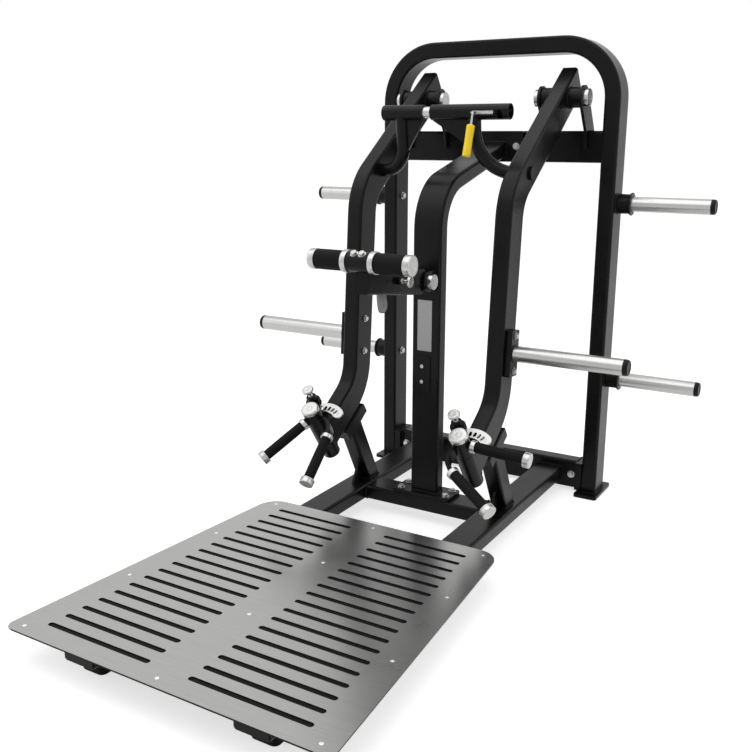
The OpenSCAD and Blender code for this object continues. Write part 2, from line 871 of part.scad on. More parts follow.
module handle_head(side) {
  color(black) handle_frame(side) difference() {
    union() {
      translate([0, 0, head_low]) cylinder(r = hub_r, h = head_high - head_low);
      translate([0, 0, ear_z]) linear_extrude(ear_t) link_outline([0, 0], hub_r - 3, pin_place, ear_r);
      translate([pin_place.x, pin_place.y, barrel_low]) cylinder(r = barrel_r, h = barrel_top - barrel_low);
      rotate([0, 0, c_bar_aim]) translate([0, 0, c_bar_z]) {
        translate([0, -c_bar_t / 2, -c_bar_h / 2]) cube([c_bar_start + bend_lap, c_bar_t, c_bar_h]);
        translate([c_bar_start, c_bar_r, 0]) rotate([0, 0, -90])
          rotate_extrude(angle = c_bar_turn, $fn = 96) translate([c_bar_r, 0])
            square([c_bar_t - 2 * bend_ease, c_bar_h - 2 * bend_ease], center = true);
      }
      outer_grip_root() translate([0, 0, -hub_r / 2]) cylinder(r = 14, h = hub_r / 2);
      c_bar_end() translate([-c_bar_tail - bend_lap, -c_bar_t / 2, -c_bar_h / 2])
        cube([c_bar_tail + bend_lap - 1.6, c_bar_t, c_bar_h]);
      grip_places() translate([0, 0, -3]) cylinder(r = grip_core_r, h = grip_l + collar_l);
    }
    cylinder(r = hub_axle_r, h = axle_top);
    translate([pin_place.x, pin_place.y, 0]) cylinder(r = pin_r + run_gap, h = axle_top);
  }
}

module handle_axle(side) {
  color(zinc) handle_frame(side) {
    translate([0, 0, housing_low + 9]) cylinder(r = hub_axle_r, h = head_high - housing_low - 9);
    translate([0, 0, head_high]) dome_cap(hub_r + 0.8, axle_top - head_high, 7);
  }
}

module handle_grips(side) {
  color(rubber) handle_frame(side) grip_places() translate([0, 0, collar_l]) difference() {
    cylinder(d = grip_d, h = grip_l);
    translate([0, 0, -1]) cylinder(r = grip_core_r, h = grip_l + 2);
  }
}

// Collar at each grip's root and cap on its end
module handle_trim(side) {
  color(zinc) handle_frame(side) grip_places() {
    difference() {
      cylinder(r = collar_r, h = collar_l);
      translate([0, 0, -1]) cylinder(r = grip_core_r, h = collar_l + 2);
    }
    translate([0, 0, collar_l + grip_l]) disc(end_cap_r, end_cap_l, 3);
  }
}

module handle_pin(side) {
  color(zinc) handle_frame(side) translate([pin_place.x, pin_place.y, 0]) {
    translate([0, 0, sector_z + sector_t + pin_play])
      cylinder(r = pin_r, h = knob_z - sector_z - sector_t - pin_play);
    translate([0, 0, barrel_top + 0.4]) cylinder(r = 8, h = 6, $fn = 6);
    translate([0, 0, knob_z]) disc(knob_r, knob_t, 2);
  }
}

// Arm link

// Frame of the link tubes, leaning with the bars that carry them
module link_frame() {
  translate([0, link.x, link.y]) rotate([link_lean, 0, 0]) children();
}

// Bar from a link tube at x down and out to the arm at its far side
module link_bar(x, r) {
  down = link_fall - r;
  out = rail_x + tube_w / 2 + link_plug - x - r;
  link_frame() {
    translate([x, 0, -down]) cylinder(r = link_bar_r, h = down);
    translate([x + r, 0, -down]) rotate([-90, 180, 0])
      rotate_extrude(angle = -90, $fn = 96) translate([r, 0]) circle(r = link_bar_r);
    translate([x + r, 0, -link_fall]) rod_x(0, out, link_bar_r);
  }
}

module left_link_carrier() {
  color(black) mirror([1, 0, 0]) difference() {
    union() {
      link_bar(link_left_x, link_left_r);
      translate([0, link.x, link.y]) rod_x(-link_left_tip, -link_left_end, link_r);
      link_frame() front_plane(0) linear_extrude(gusset_t, center = true)
        polygon([[4 - link_left_tip, 0], [link_left_x, 0], [link_left_x + 4, -6.3 * link_r],
          [link_left_x - 11, -5.5 * link_r], [4 - link_left_tip, -1.2 * link_r]]);
    }
    translate([0, link.x, link.y]) rod_x(-link_left_tip - 1, -link_left_end - 4, link_bolt_r + bolt_gap);
  }
}

module right_link_carrier() {
  color(black) difference() {
    union() {
      link_bar(link_right_x, link_right_r);
      translate([0, link.x, link.y]) rod_x(link_right_tip, link_right_end, link_r);
      link_frame() front_plane(0) linear_extrude(gusset_t, center = true)
        polygon([[link_right_tip + 4, 0], [link_right_x, 0], [link_right_x + 13, -5.1 * link_r],
          [link_right_x - 28, -4.1 * link_r], [link_right_x - 90, -2.4 * link_r],
          [link_right_tip + 4, -1.05 * link_r]]);
    }
    translate([0, link.x, link.y]) {
      rod_x(link_right_tip - 1, link_right_end + 1, link_bolt_r + run_gap);
      lever_slot();
    }
  }
}

// Slot that the lever slides in, with a notch at its far end
module lever_slot() {
  far = lever_x + link_travel;
  r = lever_slot_w / 2;
  rotate([lever_tilt, 0, 0]) translate([0, -link_r, 0]) {
    for (x = [lever_x - lever_lap, far + 2]) translate([x, 0, 0]) rotate([90, 0, 0])
      cylinder(r = r, h = 2 * link_r, center = true);
    translate([lever_x - lever_lap, -link_r, -r])
      cube([link_travel + lever_lap + 2, 2 * link_r, lever_slot_w]);
    translate([far + 2 - r, -link_r, -r - 12]) cube([lever_slot_w, 2 * link_r, r + 12]);
  }
}

module link_bolt() {
  color(zinc) translate([0, link.x, link.y]) {
    rod_x(link_bolt_from, link_bolt_to, link_bolt_r);
    translate([lever_x, 0, 0]) rotate([lever_tilt, 0, 0]) {
      rotate([90, 0, 0]) cylinder(r = lever_r, h = lever_reach);
      translate([0, -lever_reach, 0]) sphere(r = lever_r + 0.6);
    }
    lever_drop() translate([0, 0, -lever_neck - lever_socket])
      cylinder(r = lever_r, h = lever_neck + lever_socket);
  }
}

// Lever's hanging stretch, which starts where its short arm ends
module lever_drop() {
  translate([lever_x, -lever_reach * cos(lever_tilt), -lever_reach * sin(lever_tilt)])
    rotate([-11, 3, 0]) children();
}

module link_lever_grip() {
  color(yellow) translate([0, link.x, link.y]) lever_drop() translate([0, 0, -lever_neck - lever_grip_l])
    difference() {
      rotate_extrude() polygon([[0, 0], [lever_grip_r - 4, 0], [lever_grip_r, 4],
        [lever_grip_r, lever_grip_l - 4], [lever_grip_r - 4, lever_grip_l], [0, lever_grip_l]]);
      translate([0, 0, lever_grip_l - lever_socket]) cylinder(r = lever_r, h = 2 * lever_socket);
    }
}

// T-bar

// Frame of the T-bar: +X along the beam towards the user, +Y up
module t_frame(x) {
  side_plane(x) translate([t_pivot.x, t_pivot.y, 0]) mirror([1, 0, 0]) rotate([0, 0, t_rise]) children();
}

module t_bar_bracket() {
  color(black) both_sides() side_plane(t_cheek_in) linear_extrude(t_cheek_t) difference() {
    union() {
      translate(t_pivot) circle(r = t_cheek_r);
      translate([t_pivot.x, t_pivot.y - t_cheek_r]) square([post_front - t_pivot.x, 2 * t_cheek_r]);
    }
    translate(t_pivot) circle(r = t_pin_r);
  }
}

module t_bar_position_plate() {
  tip = polar(t_hole_reach, -t_tilt);
  color(label_grey) t_frame(-t_cheek_in - t_cheek_t) linear_extrude(t_cheek_t) difference() {
    union() {
      polygon([for (i = [0 : 15]) polar(t_plate_out, 7 - (t_tilt + 7) * i / 16),
        for (i = [0 : 12]) tip + polar(t_plate_out - t_hole_reach, -t_tilt - 15 * i),
        for (i = [15 : -1 : 0]) polar(t_plate_in, 7 - (t_tilt + 7) * i / 16)]);
      polygon([polar(t_cheek_r + 2, 12), polar(t_plate_in + 4, 6),
        polar(t_plate_in + 4, -8), polar(t_cheek_r + 2, -30)]);
    }
    for (i = [0 : t_hole_count - 1]) rotate(-i * t_step) translate([t_hole_reach, 0]) circle(r = t_hole_r);
    circle(r = t_cheek_r + 0.2);
  }
}

module t_bar_pivot_pin() {
  color(zinc) translate([0, t_pivot.x, t_pivot.y]) {
    rod_x(-t_cheek_out, t_cheek_out, t_pin_r);
    for (s = [-1, 1]) translate([s * t_cheek_out, 0, 0]) rotate([0, s * 90, 0]) disc(t_cap_r, t_cap_t, 2);
  }
}

module t_bar_beam() {
  size = [t_beam_h, t_beam_w];
  color(black) t_frame(0) difference() {
    union() {
      translate([t_bush_r - 12, 0, 0]) straight(size, t_beam_l - t_bush_r + 12);
      translate([t_beam_l - tube_wall, 0, 0]) rotate([90, 0, 90]) linear_extrude(tube_wall)
        round_rect(size - [tube_wall, tube_wall], tube_r - tube_wall / 2);
      cylinder(r = t_bush_r, h = t_beam_w - 1, center = true);
      translate([t_hole_reach, 0, t_beam_w / 2 - 1]) cylinder(r = 11, h = 13);
    }
    cylinder(r = t_pin_r + run_gap, h = 2 * t_beam_w, center = true);
    translate([t_cross_x, t_cross_z, 0]) cylinder(r = t_grip_r, h = 2 * t_beam_w, center = true);
    translate([t_hole_reach, 0, 0]) cylinder(r = t_hole_r - 1 + run_gap, h = 2 * t_knob_x, center = true);
  }
}

// Places its children on the crossbar's axis, along +Z towards +X
module t_cross() {
  t_frame(0) translate([t_cross_x, t_cross_z, 0]) children();
}

module t_bar_crossbar() {
  color(black) t_cross() difference() {
    union() {
      cylinder(r = t_core_r, h = 2 * (t_half - t_cap_l), center = true);
      cylinder(r = t_grip_r, h = 2 * t_ring_in, center = true);
    }
    for (s = [0, 1]) mirror([0, 0, s]) t_bolt_place() cylinder(r = 12.4, h = 10);
  }
}

// Places its children on the flat that a bolt of the crossbar sits on
module t_bolt_place() {
  translate([0, 0, 13]) rotate([0, 0, 57 - t_rise]) translate([t_grip_r - 2, 0, 0])
    rotate([0, 90, 0]) children();
}

module sleeve(from, to, r, bore) {
  translate([0, 0, from]) difference() {
    cylinder(r = r, h = to - from);
    translate([0, 0, -1]) cylinder(r = bore, h = to - from + 2);
  }
}

module t_bar_grips() {
  color(rubber) t_cross() for (s = [0, 1]) mirror([0, 0, s])
    sleeve(t_ring_out, t_half - t_cap_l, t_grip_r, t_core_r);
}

// Rings, end caps and clamp bolts of the crossbar
module t_bar_trim() {
  color(zinc) t_cross() for (s = [0, 1]) mirror([0, 0, s]) {
    sleeve(t_ring_in, t_ring_out, t_ring_r, t_core_r);
    translate([0, 0, t_half - t_cap_l]) disc(t_grip_r + 0.5, t_cap_l, 2);
    t_bolt_place() bolt_head(9.5);
  }
}

module t_bar_pull_pin() {
  tip = -t_cheek_in + side_gap + pin_play;
  color(zinc) t_frame(0) translate([t_hole_reach, 0, 0]) {
    translate([0, 0, tip]) cylinder(r = t_hole_r - 1, h = t_knob_x - tip);
    translate([0, 0, t_beam_w / 2 + 12.4]) cylinder(r = 8, h = 6, $fn = 6);
    translate([0, 0, t_knob_x]) disc(t_knob_r, 10, 2);
  }
}

hoop_frame();
foot_plates();
foot_pads();
upper_crossbeam();
lower_crossbeam();
flange_plates();
side_rails();
post_cross_member();
centre_post();
frame_fasteners();
label_plate();
post_cover_plate();
platform_sheet();
platform_mat();
rest_struts();
rest_pads();
pivot_brackets();
pivot_axles();
pivot_bearings();
storage_bosses();
storage_sleeves();
storage_caps();
t_bar_bracket();
t_bar_position_plate();
t_bar_pivot_pin();
t_bar_beam();
t_bar_crossbar();
t_bar_grips();
t_bar_trim();
t_bar_pull_pin();
link_bolt();
link_lever_grip();
arm_tube(-1);  // left_arm_tube
arm_pivot_housing(-1);  // left_arm_pivot_housing
horn_bracket(-1);  // left_horn_bracket
horn_sleeve(-1);  // left_horn_sleeve
horn_cap(-1);  // left_horn_cap
horn_bolts(-1);  // left_horn_bolts
handle_housing(-1);  // left_handle_housing
sector_plate(-1);  // left_sector_plate
left_link_carrier();
handle_head(-1);  // left_handle_head
handle_axle(-1);  // left_handle_axle
handle_grips(-1);  // left_handle_grips
handle_trim(-1);  // left_handle_trim
handle_pin(-1);  // left_handle_pin
arm_tube(1);  // right_arm_tube
arm_pivot_housing(1);  // right_arm_pivot_housing
horn_bracket(1);  // right_horn_bracket
horn_sleeve(1);  // right_horn_sleeve
horn_cap(1);  // right_horn_cap
horn_bolts(1);  // right_horn_bolts
handle_housing(1);  // right_handle_housing
sector_plate(1);  // right_sector_plate
right_link_carrier();
handle_head(1);  // right_handle_head
handle_axle(1);  // right_handle_axle
handle_grips(1);  // right_handle_grips
handle_trim(1);  // right_handle_trim
handle_pin(1);  // right_handle_pin
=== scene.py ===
import json
import math

import bmesh
import bpy
import numpy as np
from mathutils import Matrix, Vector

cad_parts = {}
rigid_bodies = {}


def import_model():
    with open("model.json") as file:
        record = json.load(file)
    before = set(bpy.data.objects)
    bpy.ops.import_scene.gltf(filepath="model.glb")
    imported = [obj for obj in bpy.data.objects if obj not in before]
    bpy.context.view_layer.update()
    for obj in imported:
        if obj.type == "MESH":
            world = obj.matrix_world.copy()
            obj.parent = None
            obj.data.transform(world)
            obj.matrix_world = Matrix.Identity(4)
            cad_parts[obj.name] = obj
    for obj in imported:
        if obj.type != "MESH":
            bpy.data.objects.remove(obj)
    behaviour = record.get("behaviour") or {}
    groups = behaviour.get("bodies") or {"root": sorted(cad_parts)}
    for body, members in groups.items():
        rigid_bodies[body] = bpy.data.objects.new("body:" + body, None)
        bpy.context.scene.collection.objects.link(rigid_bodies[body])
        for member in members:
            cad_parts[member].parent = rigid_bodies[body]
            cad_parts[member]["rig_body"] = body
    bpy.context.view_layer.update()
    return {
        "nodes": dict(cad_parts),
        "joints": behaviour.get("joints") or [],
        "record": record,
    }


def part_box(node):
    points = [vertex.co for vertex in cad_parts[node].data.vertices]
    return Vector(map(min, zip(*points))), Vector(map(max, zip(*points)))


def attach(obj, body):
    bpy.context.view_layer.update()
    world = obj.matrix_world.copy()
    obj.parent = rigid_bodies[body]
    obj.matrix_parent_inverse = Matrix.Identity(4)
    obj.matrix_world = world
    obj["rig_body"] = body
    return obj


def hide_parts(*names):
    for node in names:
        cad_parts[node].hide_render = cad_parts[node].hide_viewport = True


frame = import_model()
nodes = frame["nodes"]


# Camera
# It stands in front of the machine's right corner at chest height, as the photographer did.
camera_down, camera_left = 14.8, 30.8
camera = bpy.data.objects.new("camera", bpy.data.cameras.new("camera"))
bpy.context.collection.objects.link(camera)
camera.data.lens = 43.68
camera.data.sensor_width = 36.0
camera.location = (1.347, -2.236, 1.272)
camera.rotation_euler = (math.radians(90 - camera_down), 0, math.radians(camera_left))
bpy.context.scene.camera = camera


# Studio
# A white floor and world stand round the machine, lit by wide soft boxes overhead and at the sides.
# Camera and glossy rays see plain white, while the light that falls on the machine stays level.
world_light, world_white = 0.58, 1.0
floor_tone, floor_rough, floor_glow = 0.6, 0.7, 0.66
floor_reach, floor_drop = 30.0, 0.0005


def seen_directly(tree):
    """1 for camera, glossy and transmission rays, 0 for the light that falls on the machine."""
    path = tree.nodes.new("ShaderNodeLightPath")
    total = path.outputs["Is Camera Ray"]
    for kind in ("Is Glossy Ray", "Is Transmission Ray"):
        more = tree.nodes.new("ShaderNodeMath")
        more.operation = "MAXIMUM"
        tree.links.new(total, more.inputs[0])
        tree.links.new(path.outputs[kind], more.inputs[1])
        total = more.outputs["Value"]
    return total


def add_ramp(tree, value, low, high, a, b):
    """Maps value from low..high to a..b, clamped."""
    ramp = tree.nodes.new("ShaderNodeMapRange")
    ramp.inputs["From Min"].default_value = low
    ramp.inputs["From Max"].default_value = high
    ramp.inputs["To Min"].default_value = a
    ramp.inputs["To Max"].default_value = b
    tree.links.new(value, ramp.inputs["Value"])
    return ramp.outputs["Result"]


def camera_glow(tree, shaded, strength):
    """Adds plain white light to what camera, glossy and transmission rays see, and nothing to the rest."""
    level = add_ramp(tree, seen_directly(tree), 0, 1, 0, strength)
    glow = tree.nodes.new("ShaderNodeEmission")
    tree.links.new(level, glow.inputs["Strength"])
    both = tree.nodes.new("ShaderNodeAddShader")
    tree.links.new(shaded, both.inputs[0])
    tree.links.new(glow.outputs["Emission"], both.inputs[1])
    return both.outputs["Shader"]


world = bpy.data.worlds.new("studio")
world.use_nodes = True
bpy.context.scene.world = world
air = world.node_tree
air.nodes.clear()
white = air.nodes.new("ShaderNodeBackground")
white.inputs["Color"].default_value = (1, 1, 1, 1)
air.links.new(add_ramp(air, seen_directly(air), 0, 1, world_light, world_white), white.inputs["Strength"])
sky = air.nodes.new("ShaderNodeOutputWorld")
air.links.new(white.outputs["Background"], sky.inputs["Surface"])

floor_mesh = bpy.data.meshes.new("floor")
floor_corners = [(-floor_reach, -floor_reach, 0), (floor_reach, -floor_reach, 0),
                 (floor_reach, floor_reach, 0), (-floor_reach, floor_reach, 0)]
floor_mesh.from_pydata(floor_corners, [], [(0, 1, 2, 3)])
floor = bpy.data.objects.new("floor", floor_mesh)
floor.location = (0, 0, -floor_drop)
bpy.context.collection.objects.link(floor)
floor_white = bpy.data.materials.new("floor_white")
floor_white.use_nodes = True
paint = floor_white.node_tree.nodes["Principled BSDF"]
paint.inputs["Base Color"].default_value = (floor_tone, floor_tone, floor_tone, 1)
paint.inputs["Roughness"].default_value = floor_rough
lit_floor = camera_glow(floor_white.node_tree, paint.outputs["BSDF"], floor_glow)
floor_end = floor_white.node_tree.nodes["Material Output"]
floor_white.node_tree.links.new(lit_floor, floor_end.inputs["Surface"])
floor.data.materials.append(floor_white)


def soft_box(name, place, aim, size, power):
    """A square lamp at place that faces the point aim, in metres and watts."""
    lamp = bpy.data.lights.new(name, "AREA")
    lamp.shape = "SQUARE"
    lamp.size = size
    lamp.energy = power
    box = bpy.data.objects.new(name, lamp)
    bpy.context.collection.objects.link(box)
    way = np.array(aim, float) - np.array(place, float)
    flat = math.hypot(way[0], way[1])
    box.location = place
    box.rotation_euler = (math.pi / 2 + math.atan2(way[2], flat), 0, math.atan2(-way[0], way[1]))


soft_box("lamp_top", (-0.6, -0.6, 4.4), (0, 0.1, 0.8), size=4.6, power=100)
soft_box("lamp_left", (-4.6, -2.9, 2.9), (0, 0.2, 0.8), size=4.4, power=45)
soft_box("lamp_right", (4.2, 1.6, 2.7), (0, 0.3, 0.8), size=3.8, power=42)


# Frame, arms and housings
# Bent rectangular steel tube, brackets and turned housings, welded together. All of it is powder
# coated a satin black, with a fine orange peel and slow patches of handling marks and dust.
def socket(group, name, kind, direction, value=None):
    """Adds one named input or output to a node group."""
    made = group.interface.new_socket(name=name, in_out=direction, socket_type=kind)
    if value is not None:
        made.default_value = value
    return made


def new_group(name):
    """An empty shader node group with its input and output nodes."""
    group = bpy.data.node_groups.new(name, "ShaderNodeTree")
    return group, group.nodes.new("NodeGroupInput"), group.nodes.new("NodeGroupOutput")


def add_noise(tree, vector, scale, detail, rough=0.5):
    """Noise of that scale in cycles per metre."""
    noise = tree.nodes.new("ShaderNodeTexNoise")
    noise.inputs["Scale"].default_value = scale
    noise.inputs["Detail"].default_value = detail
    noise.inputs["Roughness"].default_value = rough
    tree.links.new(vector, noise.inputs["Vector"])
    return noise.outputs["Fac"]


def grain_group():
    """Outputs Peel, a fine height from 0 to 1, and Patch, a slow mask of handling marks and dust. Both
    work on Object coordinates in metres, and Fineness scales the peel."""
    group, start, end = new_group("grain")
    socket(group, "Fineness", "NodeSocketFloat", "INPUT", 1.0)
    socket(group, "Peel", "NodeSocketFloat", "OUTPUT")
    socket(group, "Patch", "NodeSocketFloat", "OUTPUT")
    coords = group.nodes.new("ShaderNodeTexCoord")
    scaled = group.nodes.new("ShaderNodeVectorMath")
    scaled.operation = "SCALE"
    group.links.new(coords.outputs["Object"], scaled.inputs[0])
    group.links.new(start.outputs["Fineness"], scaled.inputs["Scale"])
    fine_share = 0.6
    fine = add_noise(group, scaled.outputs["Vector"], scale=900, detail=2)
    coarse = add_noise(group, scaled.outputs["Vector"], scale=300, detail=3)
    both = group.nodes.new("ShaderNodeMath")
    both.operation = "MULTIPLY_ADD"
    both.inputs[1].default_value = fine_share
    group.links.new(fine, both.inputs[0])
    group.links.new(add_ramp(group, coarse, 0, 1, 0, 1 - fine_share), both.inputs[2])
    patch = add_noise(group, coords.outputs["Object"], scale=5, detail=6, rough=0.62)
    group.links.new(both.outputs["Value"], end.inputs["Peel"])
    group.links.new(add_ramp(group, patch, 0.42, 0.68, 0, 1), end.inputs["Patch"])
    return group


GRAIN = grain_group()


def use_group(tree, group, **values):
    """Places a group in a material and sets its inputs."""
    made = tree.nodes.new("ShaderNodeGroup")
    made.node_tree = group
    for name, value in values.items():
        made.inputs[name].default_value = value
    return made


def add_colours(tree, mask, first, second):
    """Mixes two colours by a mask that changes over the surface."""
    mix = tree.nodes.new("ShaderNodeMix")
    mix.data_type = "RGBA"
    mix.inputs["A"].default_value = (*first, 1)
    mix.inputs["B"].default_value = (*second, 1)
    tree.links.new(mask, mix.inputs["Factor"])
    return mix.outputs["Result"]


def add_bump(tree, height, depth):
    """Bump of that depth in metres."""
    bump = tree.nodes.new("ShaderNodeBump")
    bump.inputs["Strength"].default_value = 1.0
    bump.inputs["Distance"].default_value = depth
    tree.links.new(height, bump.inputs["Height"])
    return bump.outputs["Normal"]


def coated(name, colour, worn, rough, fineness, depth, specular):
    """Paint, rubber or plastic: two close tones, a broken gloss and a fine peel."""
    material = bpy.data.materials.new(name)
    material.use_nodes = True
    tree = material.node_tree
    shader = tree.nodes["Principled BSDF"]
    grain = use_group(tree, GRAIN, Fineness=fineness)
    tree.links.new(add_colours(tree, grain.outputs["Patch"], colour, worn), shader.inputs["Base Color"])
    gloss = add_ramp(tree, grain.outputs["Patch"], 0, 1, rough[0], rough[1])
    tree.links.new(gloss, shader.inputs["Roughness"])
    tree.links.new(add_bump(tree, grain.outputs["Peel"], depth), shader.inputs["Normal"])
    shader.inputs["Specular IOR Level"].default_value = specular
    return material


def finish_solids(slot_name, finish):
    """Gives the solids of one material slot their finish."""
    for part in frame["record"]["subparts"]:
        if part["material_slot"] == slot_name:
            nodes[part["node"]].data.materials.clear()
            nodes[part["node"]].data.materials.append(finish)


powder_black = coated("powder_black", (0.004, 0.004, 0.0044), (0.007, 0.007, 0.007),
                      rough=(0.25, 0.34), fineness=1.0, depth=0.00004, specular=0.12)
finish_solids("powder_black", powder_black)


# Plate sleeves and pivot bearings
# Drawn steel tubes that the weight plates slide onto, plated and polished along their length, and
# the plain bearings inside the arms' pivots.
def brushing_group():
    """Outputs Lines, thin parallel scratches, and Cloud, a slow change of gloss. Both work on Object
    coordinates in metres, and Stretch squeezes the lines' noise along each axis."""
    group, start, end = new_group("brushing")
    socket(group, "Stretch", "NodeSocketVector", "INPUT", (20.0, 900.0, 900.0))
    socket(group, "Lines", "NodeSocketFloat", "OUTPUT")
    socket(group, "Cloud", "NodeSocketFloat", "OUTPUT")
    coords = group.nodes.new("ShaderNodeTexCoord")
    squeezed = group.nodes.new("ShaderNodeVectorMath")
    squeezed.operation = "MULTIPLY"
    group.links.new(coords.outputs["Object"], squeezed.inputs[0])
    group.links.new(start.outputs["Stretch"], squeezed.inputs[1])
    lines = add_noise(group, squeezed.outputs["Vector"], scale=1, detail=4, rough=0.65)
    cloud = add_noise(group, coords.outputs["Object"], scale=9, detail=4)
    group.links.new(lines, end.inputs["Lines"])
    group.links.new(cloud, end.inputs["Cloud"])
    return group


BRUSHING = brushing_group()


def bare_metal(name, colour, dull, rough, stretch, depth):
    """Bare or plated metal with brushed or turned lines."""
    material = bpy.data.materials.new(name)
    material.use_nodes = True
    tree = material.node_tree
    shader = tree.nodes["Principled BSDF"]
    brushing = use_group(tree, BRUSHING, Stretch=stretch)
    mask = add_ramp(tree, brushing.outputs["Lines"], 0.3, 0.7, 0, 1)
    tree.links.new(add_colours(tree, mask, colour, dull), shader.inputs["Base Color"])
    gloss = add_ramp(tree, brushing.outputs["Cloud"], 0.3, 0.7, rough[0], rough[1])
    tree.links.new(gloss, shader.inputs["Roughness"])
    tree.links.new(add_bump(tree, brushing.outputs["Lines"], depth), shader.inputs["Normal"])
    shader.inputs["Metallic"].default_value = 1.0
    return material


sleeve_steel = bare_metal("sleeve_steel", (0.46, 0.46, 0.455), (0.38, 0.38, 0.375),
                          rough=(0.26, 0.34), stretch=(1600, 12, 12), depth=0.00001)
finish_solids("sleeve_steel", sleeve_steel)


# Sleeve caps and bosses
# Each plate sleeve ends in a moulded black plug with a rolled rim and a dished face. The storage
# sleeves stand on turned black bosses with a flange, which are bolted through the hoop's legs.
MM = 0.001
SIDES = {"left": -1, "right": 1}
plastic_black = coated("plastic_black", (0.004, 0.004, 0.004), (0.007, 0.007, 0.007),
                       rough=(0.34, 0.44), fineness=2.0, depth=0.00002, specular=0.13)
finish_solids("plastic_black", plastic_black)


def box_of(node):
    """Lowest and highest corner of a solid, in millimetres."""
    return np.round(np.array(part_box(node)) / MM, 3)


def move(x, y, z):
    """Matrix that shifts by x, y and z."""
    made = np.eye(4)
    made[:3, 3] = (x, y, z)
    return made


def turn(axis, degrees):
    """Matrix that turns about the axis X, Y or Z."""
    i, j = {"X": (1, 2), "Y": (2, 0), "Z": (0, 1)}[axis]
    made = np.eye(4)
    made[i, i] = made[j, j] = math.cos(math.radians(degrees))
    made[j, i] = math.sin(math.radians(degrees))
    made[i, j] = -made[j, i]
    return made


def along_x(place, sign=1):
    """Matrix whose Z axis points along the machine's X axis, or against it."""
    return move(*place) @ turn("Y", 90 * sign)


def mirrored(side):
    """Matrix that leaves the right side as it is and mirrors it for the left one."""
    return np.diag([side, 1.0, 1.0, 1.0])


def softened(points, radius, steps=4, closed=False):
    """Rounds a profile's corners: corner p becomes (1-t)^2 a + 2t(1-t) p + t^2 b, where a and b lie
    at most radius before and after it on its two sides."""
    p = np.asarray(points, float)
    back, on = np.roll(p, 1, 0) - p, np.roll(p, -1, 0) - p
    len_back, len_on = np.linalg.norm(back, axis=1), np.linalg.norm(on, axis=1)
    reach = np.minimum(radius, 0.45 * np.minimum(len_back, len_on))
    if not closed:
        reach[[0, -1]] = 0
    a = p + back * (reach / np.maximum(len_back, 1e-9))[:, None]
    b = p + on * (reach / np.maximum(len_on, 1e-9))[:, None]
    t = np.linspace(0, 1, steps + 1)[None, :, None]
    curve = (1 - t) ** 2 * a[:, None] + 2 * t * (1 - t) * p[:, None] + t ** 2 * b[:, None]
    curve = curve.reshape(-1, 2)
    return np.vstack([curve, curve[:1]]) if closed else curve


def lattice(grid, frame_of, uv):
    """Skin of quads over a grid of points; each face corner keeps its own place on the UV map."""
    rows, columns = grid.shape[:2]
    points = grid.reshape(-1, 3) @ frame_of[:3, :3].T + frame_of[:3, 3]
    k = np.arange(rows * columns).reshape(rows, columns)
    quads = np.stack([k[:-1, :-1], k[1:, :-1], k[1:, 1:], k[:-1, 1:]], -1).reshape(-1, 4)
    return points, quads, uv.reshape(-1, 2)[quads]


def turned(profile, frame_of, steps=64):
    """Surface of revolution: a profile point (r, z) runs round the Z axis as (r cos a, r sin a, z)."""
    r, z = np.asarray(profile, float).T
    a = np.linspace(0, 2 * np.pi, steps + 1)[:, None]
    run = np.concatenate([[0], np.cumsum(np.hypot(np.diff(r), np.diff(z)))])
    grid = np.stack([r * np.cos(a), r * np.sin(a), z + 0 * a], -1)
    return lattice(grid, frame_of, np.stack([a / (2 * np.pi) + 0 * r, run * MM + 0 * a], -1))


def piece(name, skins, body, slot_name, finish, *replaced):
    """Joins skins into one piece, merges doubles, turns faces outwards and lets it ride on a body."""
    first = np.cumsum([0] + [len(skin[0]) for skin in skins[:-1]])
    mesh = bpy.data.meshes.new(name)
    mesh.from_pydata((np.concatenate([skin[0] for skin in skins]) * MM).tolist(), [],
                     np.concatenate([skin[1] + n for skin, n in zip(skins, first)]).tolist())
    layer = mesh.uv_layers.new(name="surface")
    layer.data.foreach_set("uv", np.concatenate([skin[2] for skin in skins]).astype(np.float32).ravel())
    shape = bmesh.new()
    shape.from_mesh(mesh)
    bmesh.ops.remove_doubles(shape, verts=shape.verts, dist=2e-6)
    bmesh.ops.recalc_face_normals(shape, faces=shape.faces)
    shape.to_mesh(mesh)
    shape.free()
    mesh.shade_smooth()
    mesh.set_sharp_from_angle(angle=math.radians(32))
    mesh.materials.append(finish)
    made = bpy.data.objects.new(name, mesh)
    bpy.context.collection.objects.link(made)
    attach(made, body)
    if replaced:
        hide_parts(*replaced)
    return made


hoop_low, hoop_high = box_of("hoop_frame")
hoop_side, hoop_y = hoop_high[0], (hoop_low[1] + hoop_high[1]) / 2
sleeve_r = 25.0
storage_low, storage_high = box_of("storage_sleeves")
storage_tip = storage_high[0]
storage_heights = storage_low[2] + sleeve_r, storage_high[2] - sleeve_r
horn_low, horn_high = box_of("right_horn_sleeve")
horn_tip, horn_y, horn_z = horn_high[0], (horn_low[1] + horn_high[1]) / 2, (horn_low[2] + horn_high[2]) / 2
plug = softened([(0, 0), (24.8, 0), (24.8, 9), (22.2, 15), (17.5, 15), (15.5, 13.2), (0, 13.2)],
                [0, 0.6, 3.5, 2.5, 1.2, 1.2, 0], 5)
boss_r = 33.0
boss = softened([(0, 0), (boss_r, 0), (boss_r, 42), (38, 44.4), (38, 50), (25.6, 50), (25.4, 49), (0, 49)],
                [0, 0.5, 2.5, 1.2, 1.5, 0.4, 0.2, 0])
piece("storage_end_plugs", [turned(plug, along_x((s * storage_tip, hoop_y, z), s))
                            for s in (-1, 1) for z in storage_heights],
      "frame", "plastic_black", plastic_black, "storage_caps")
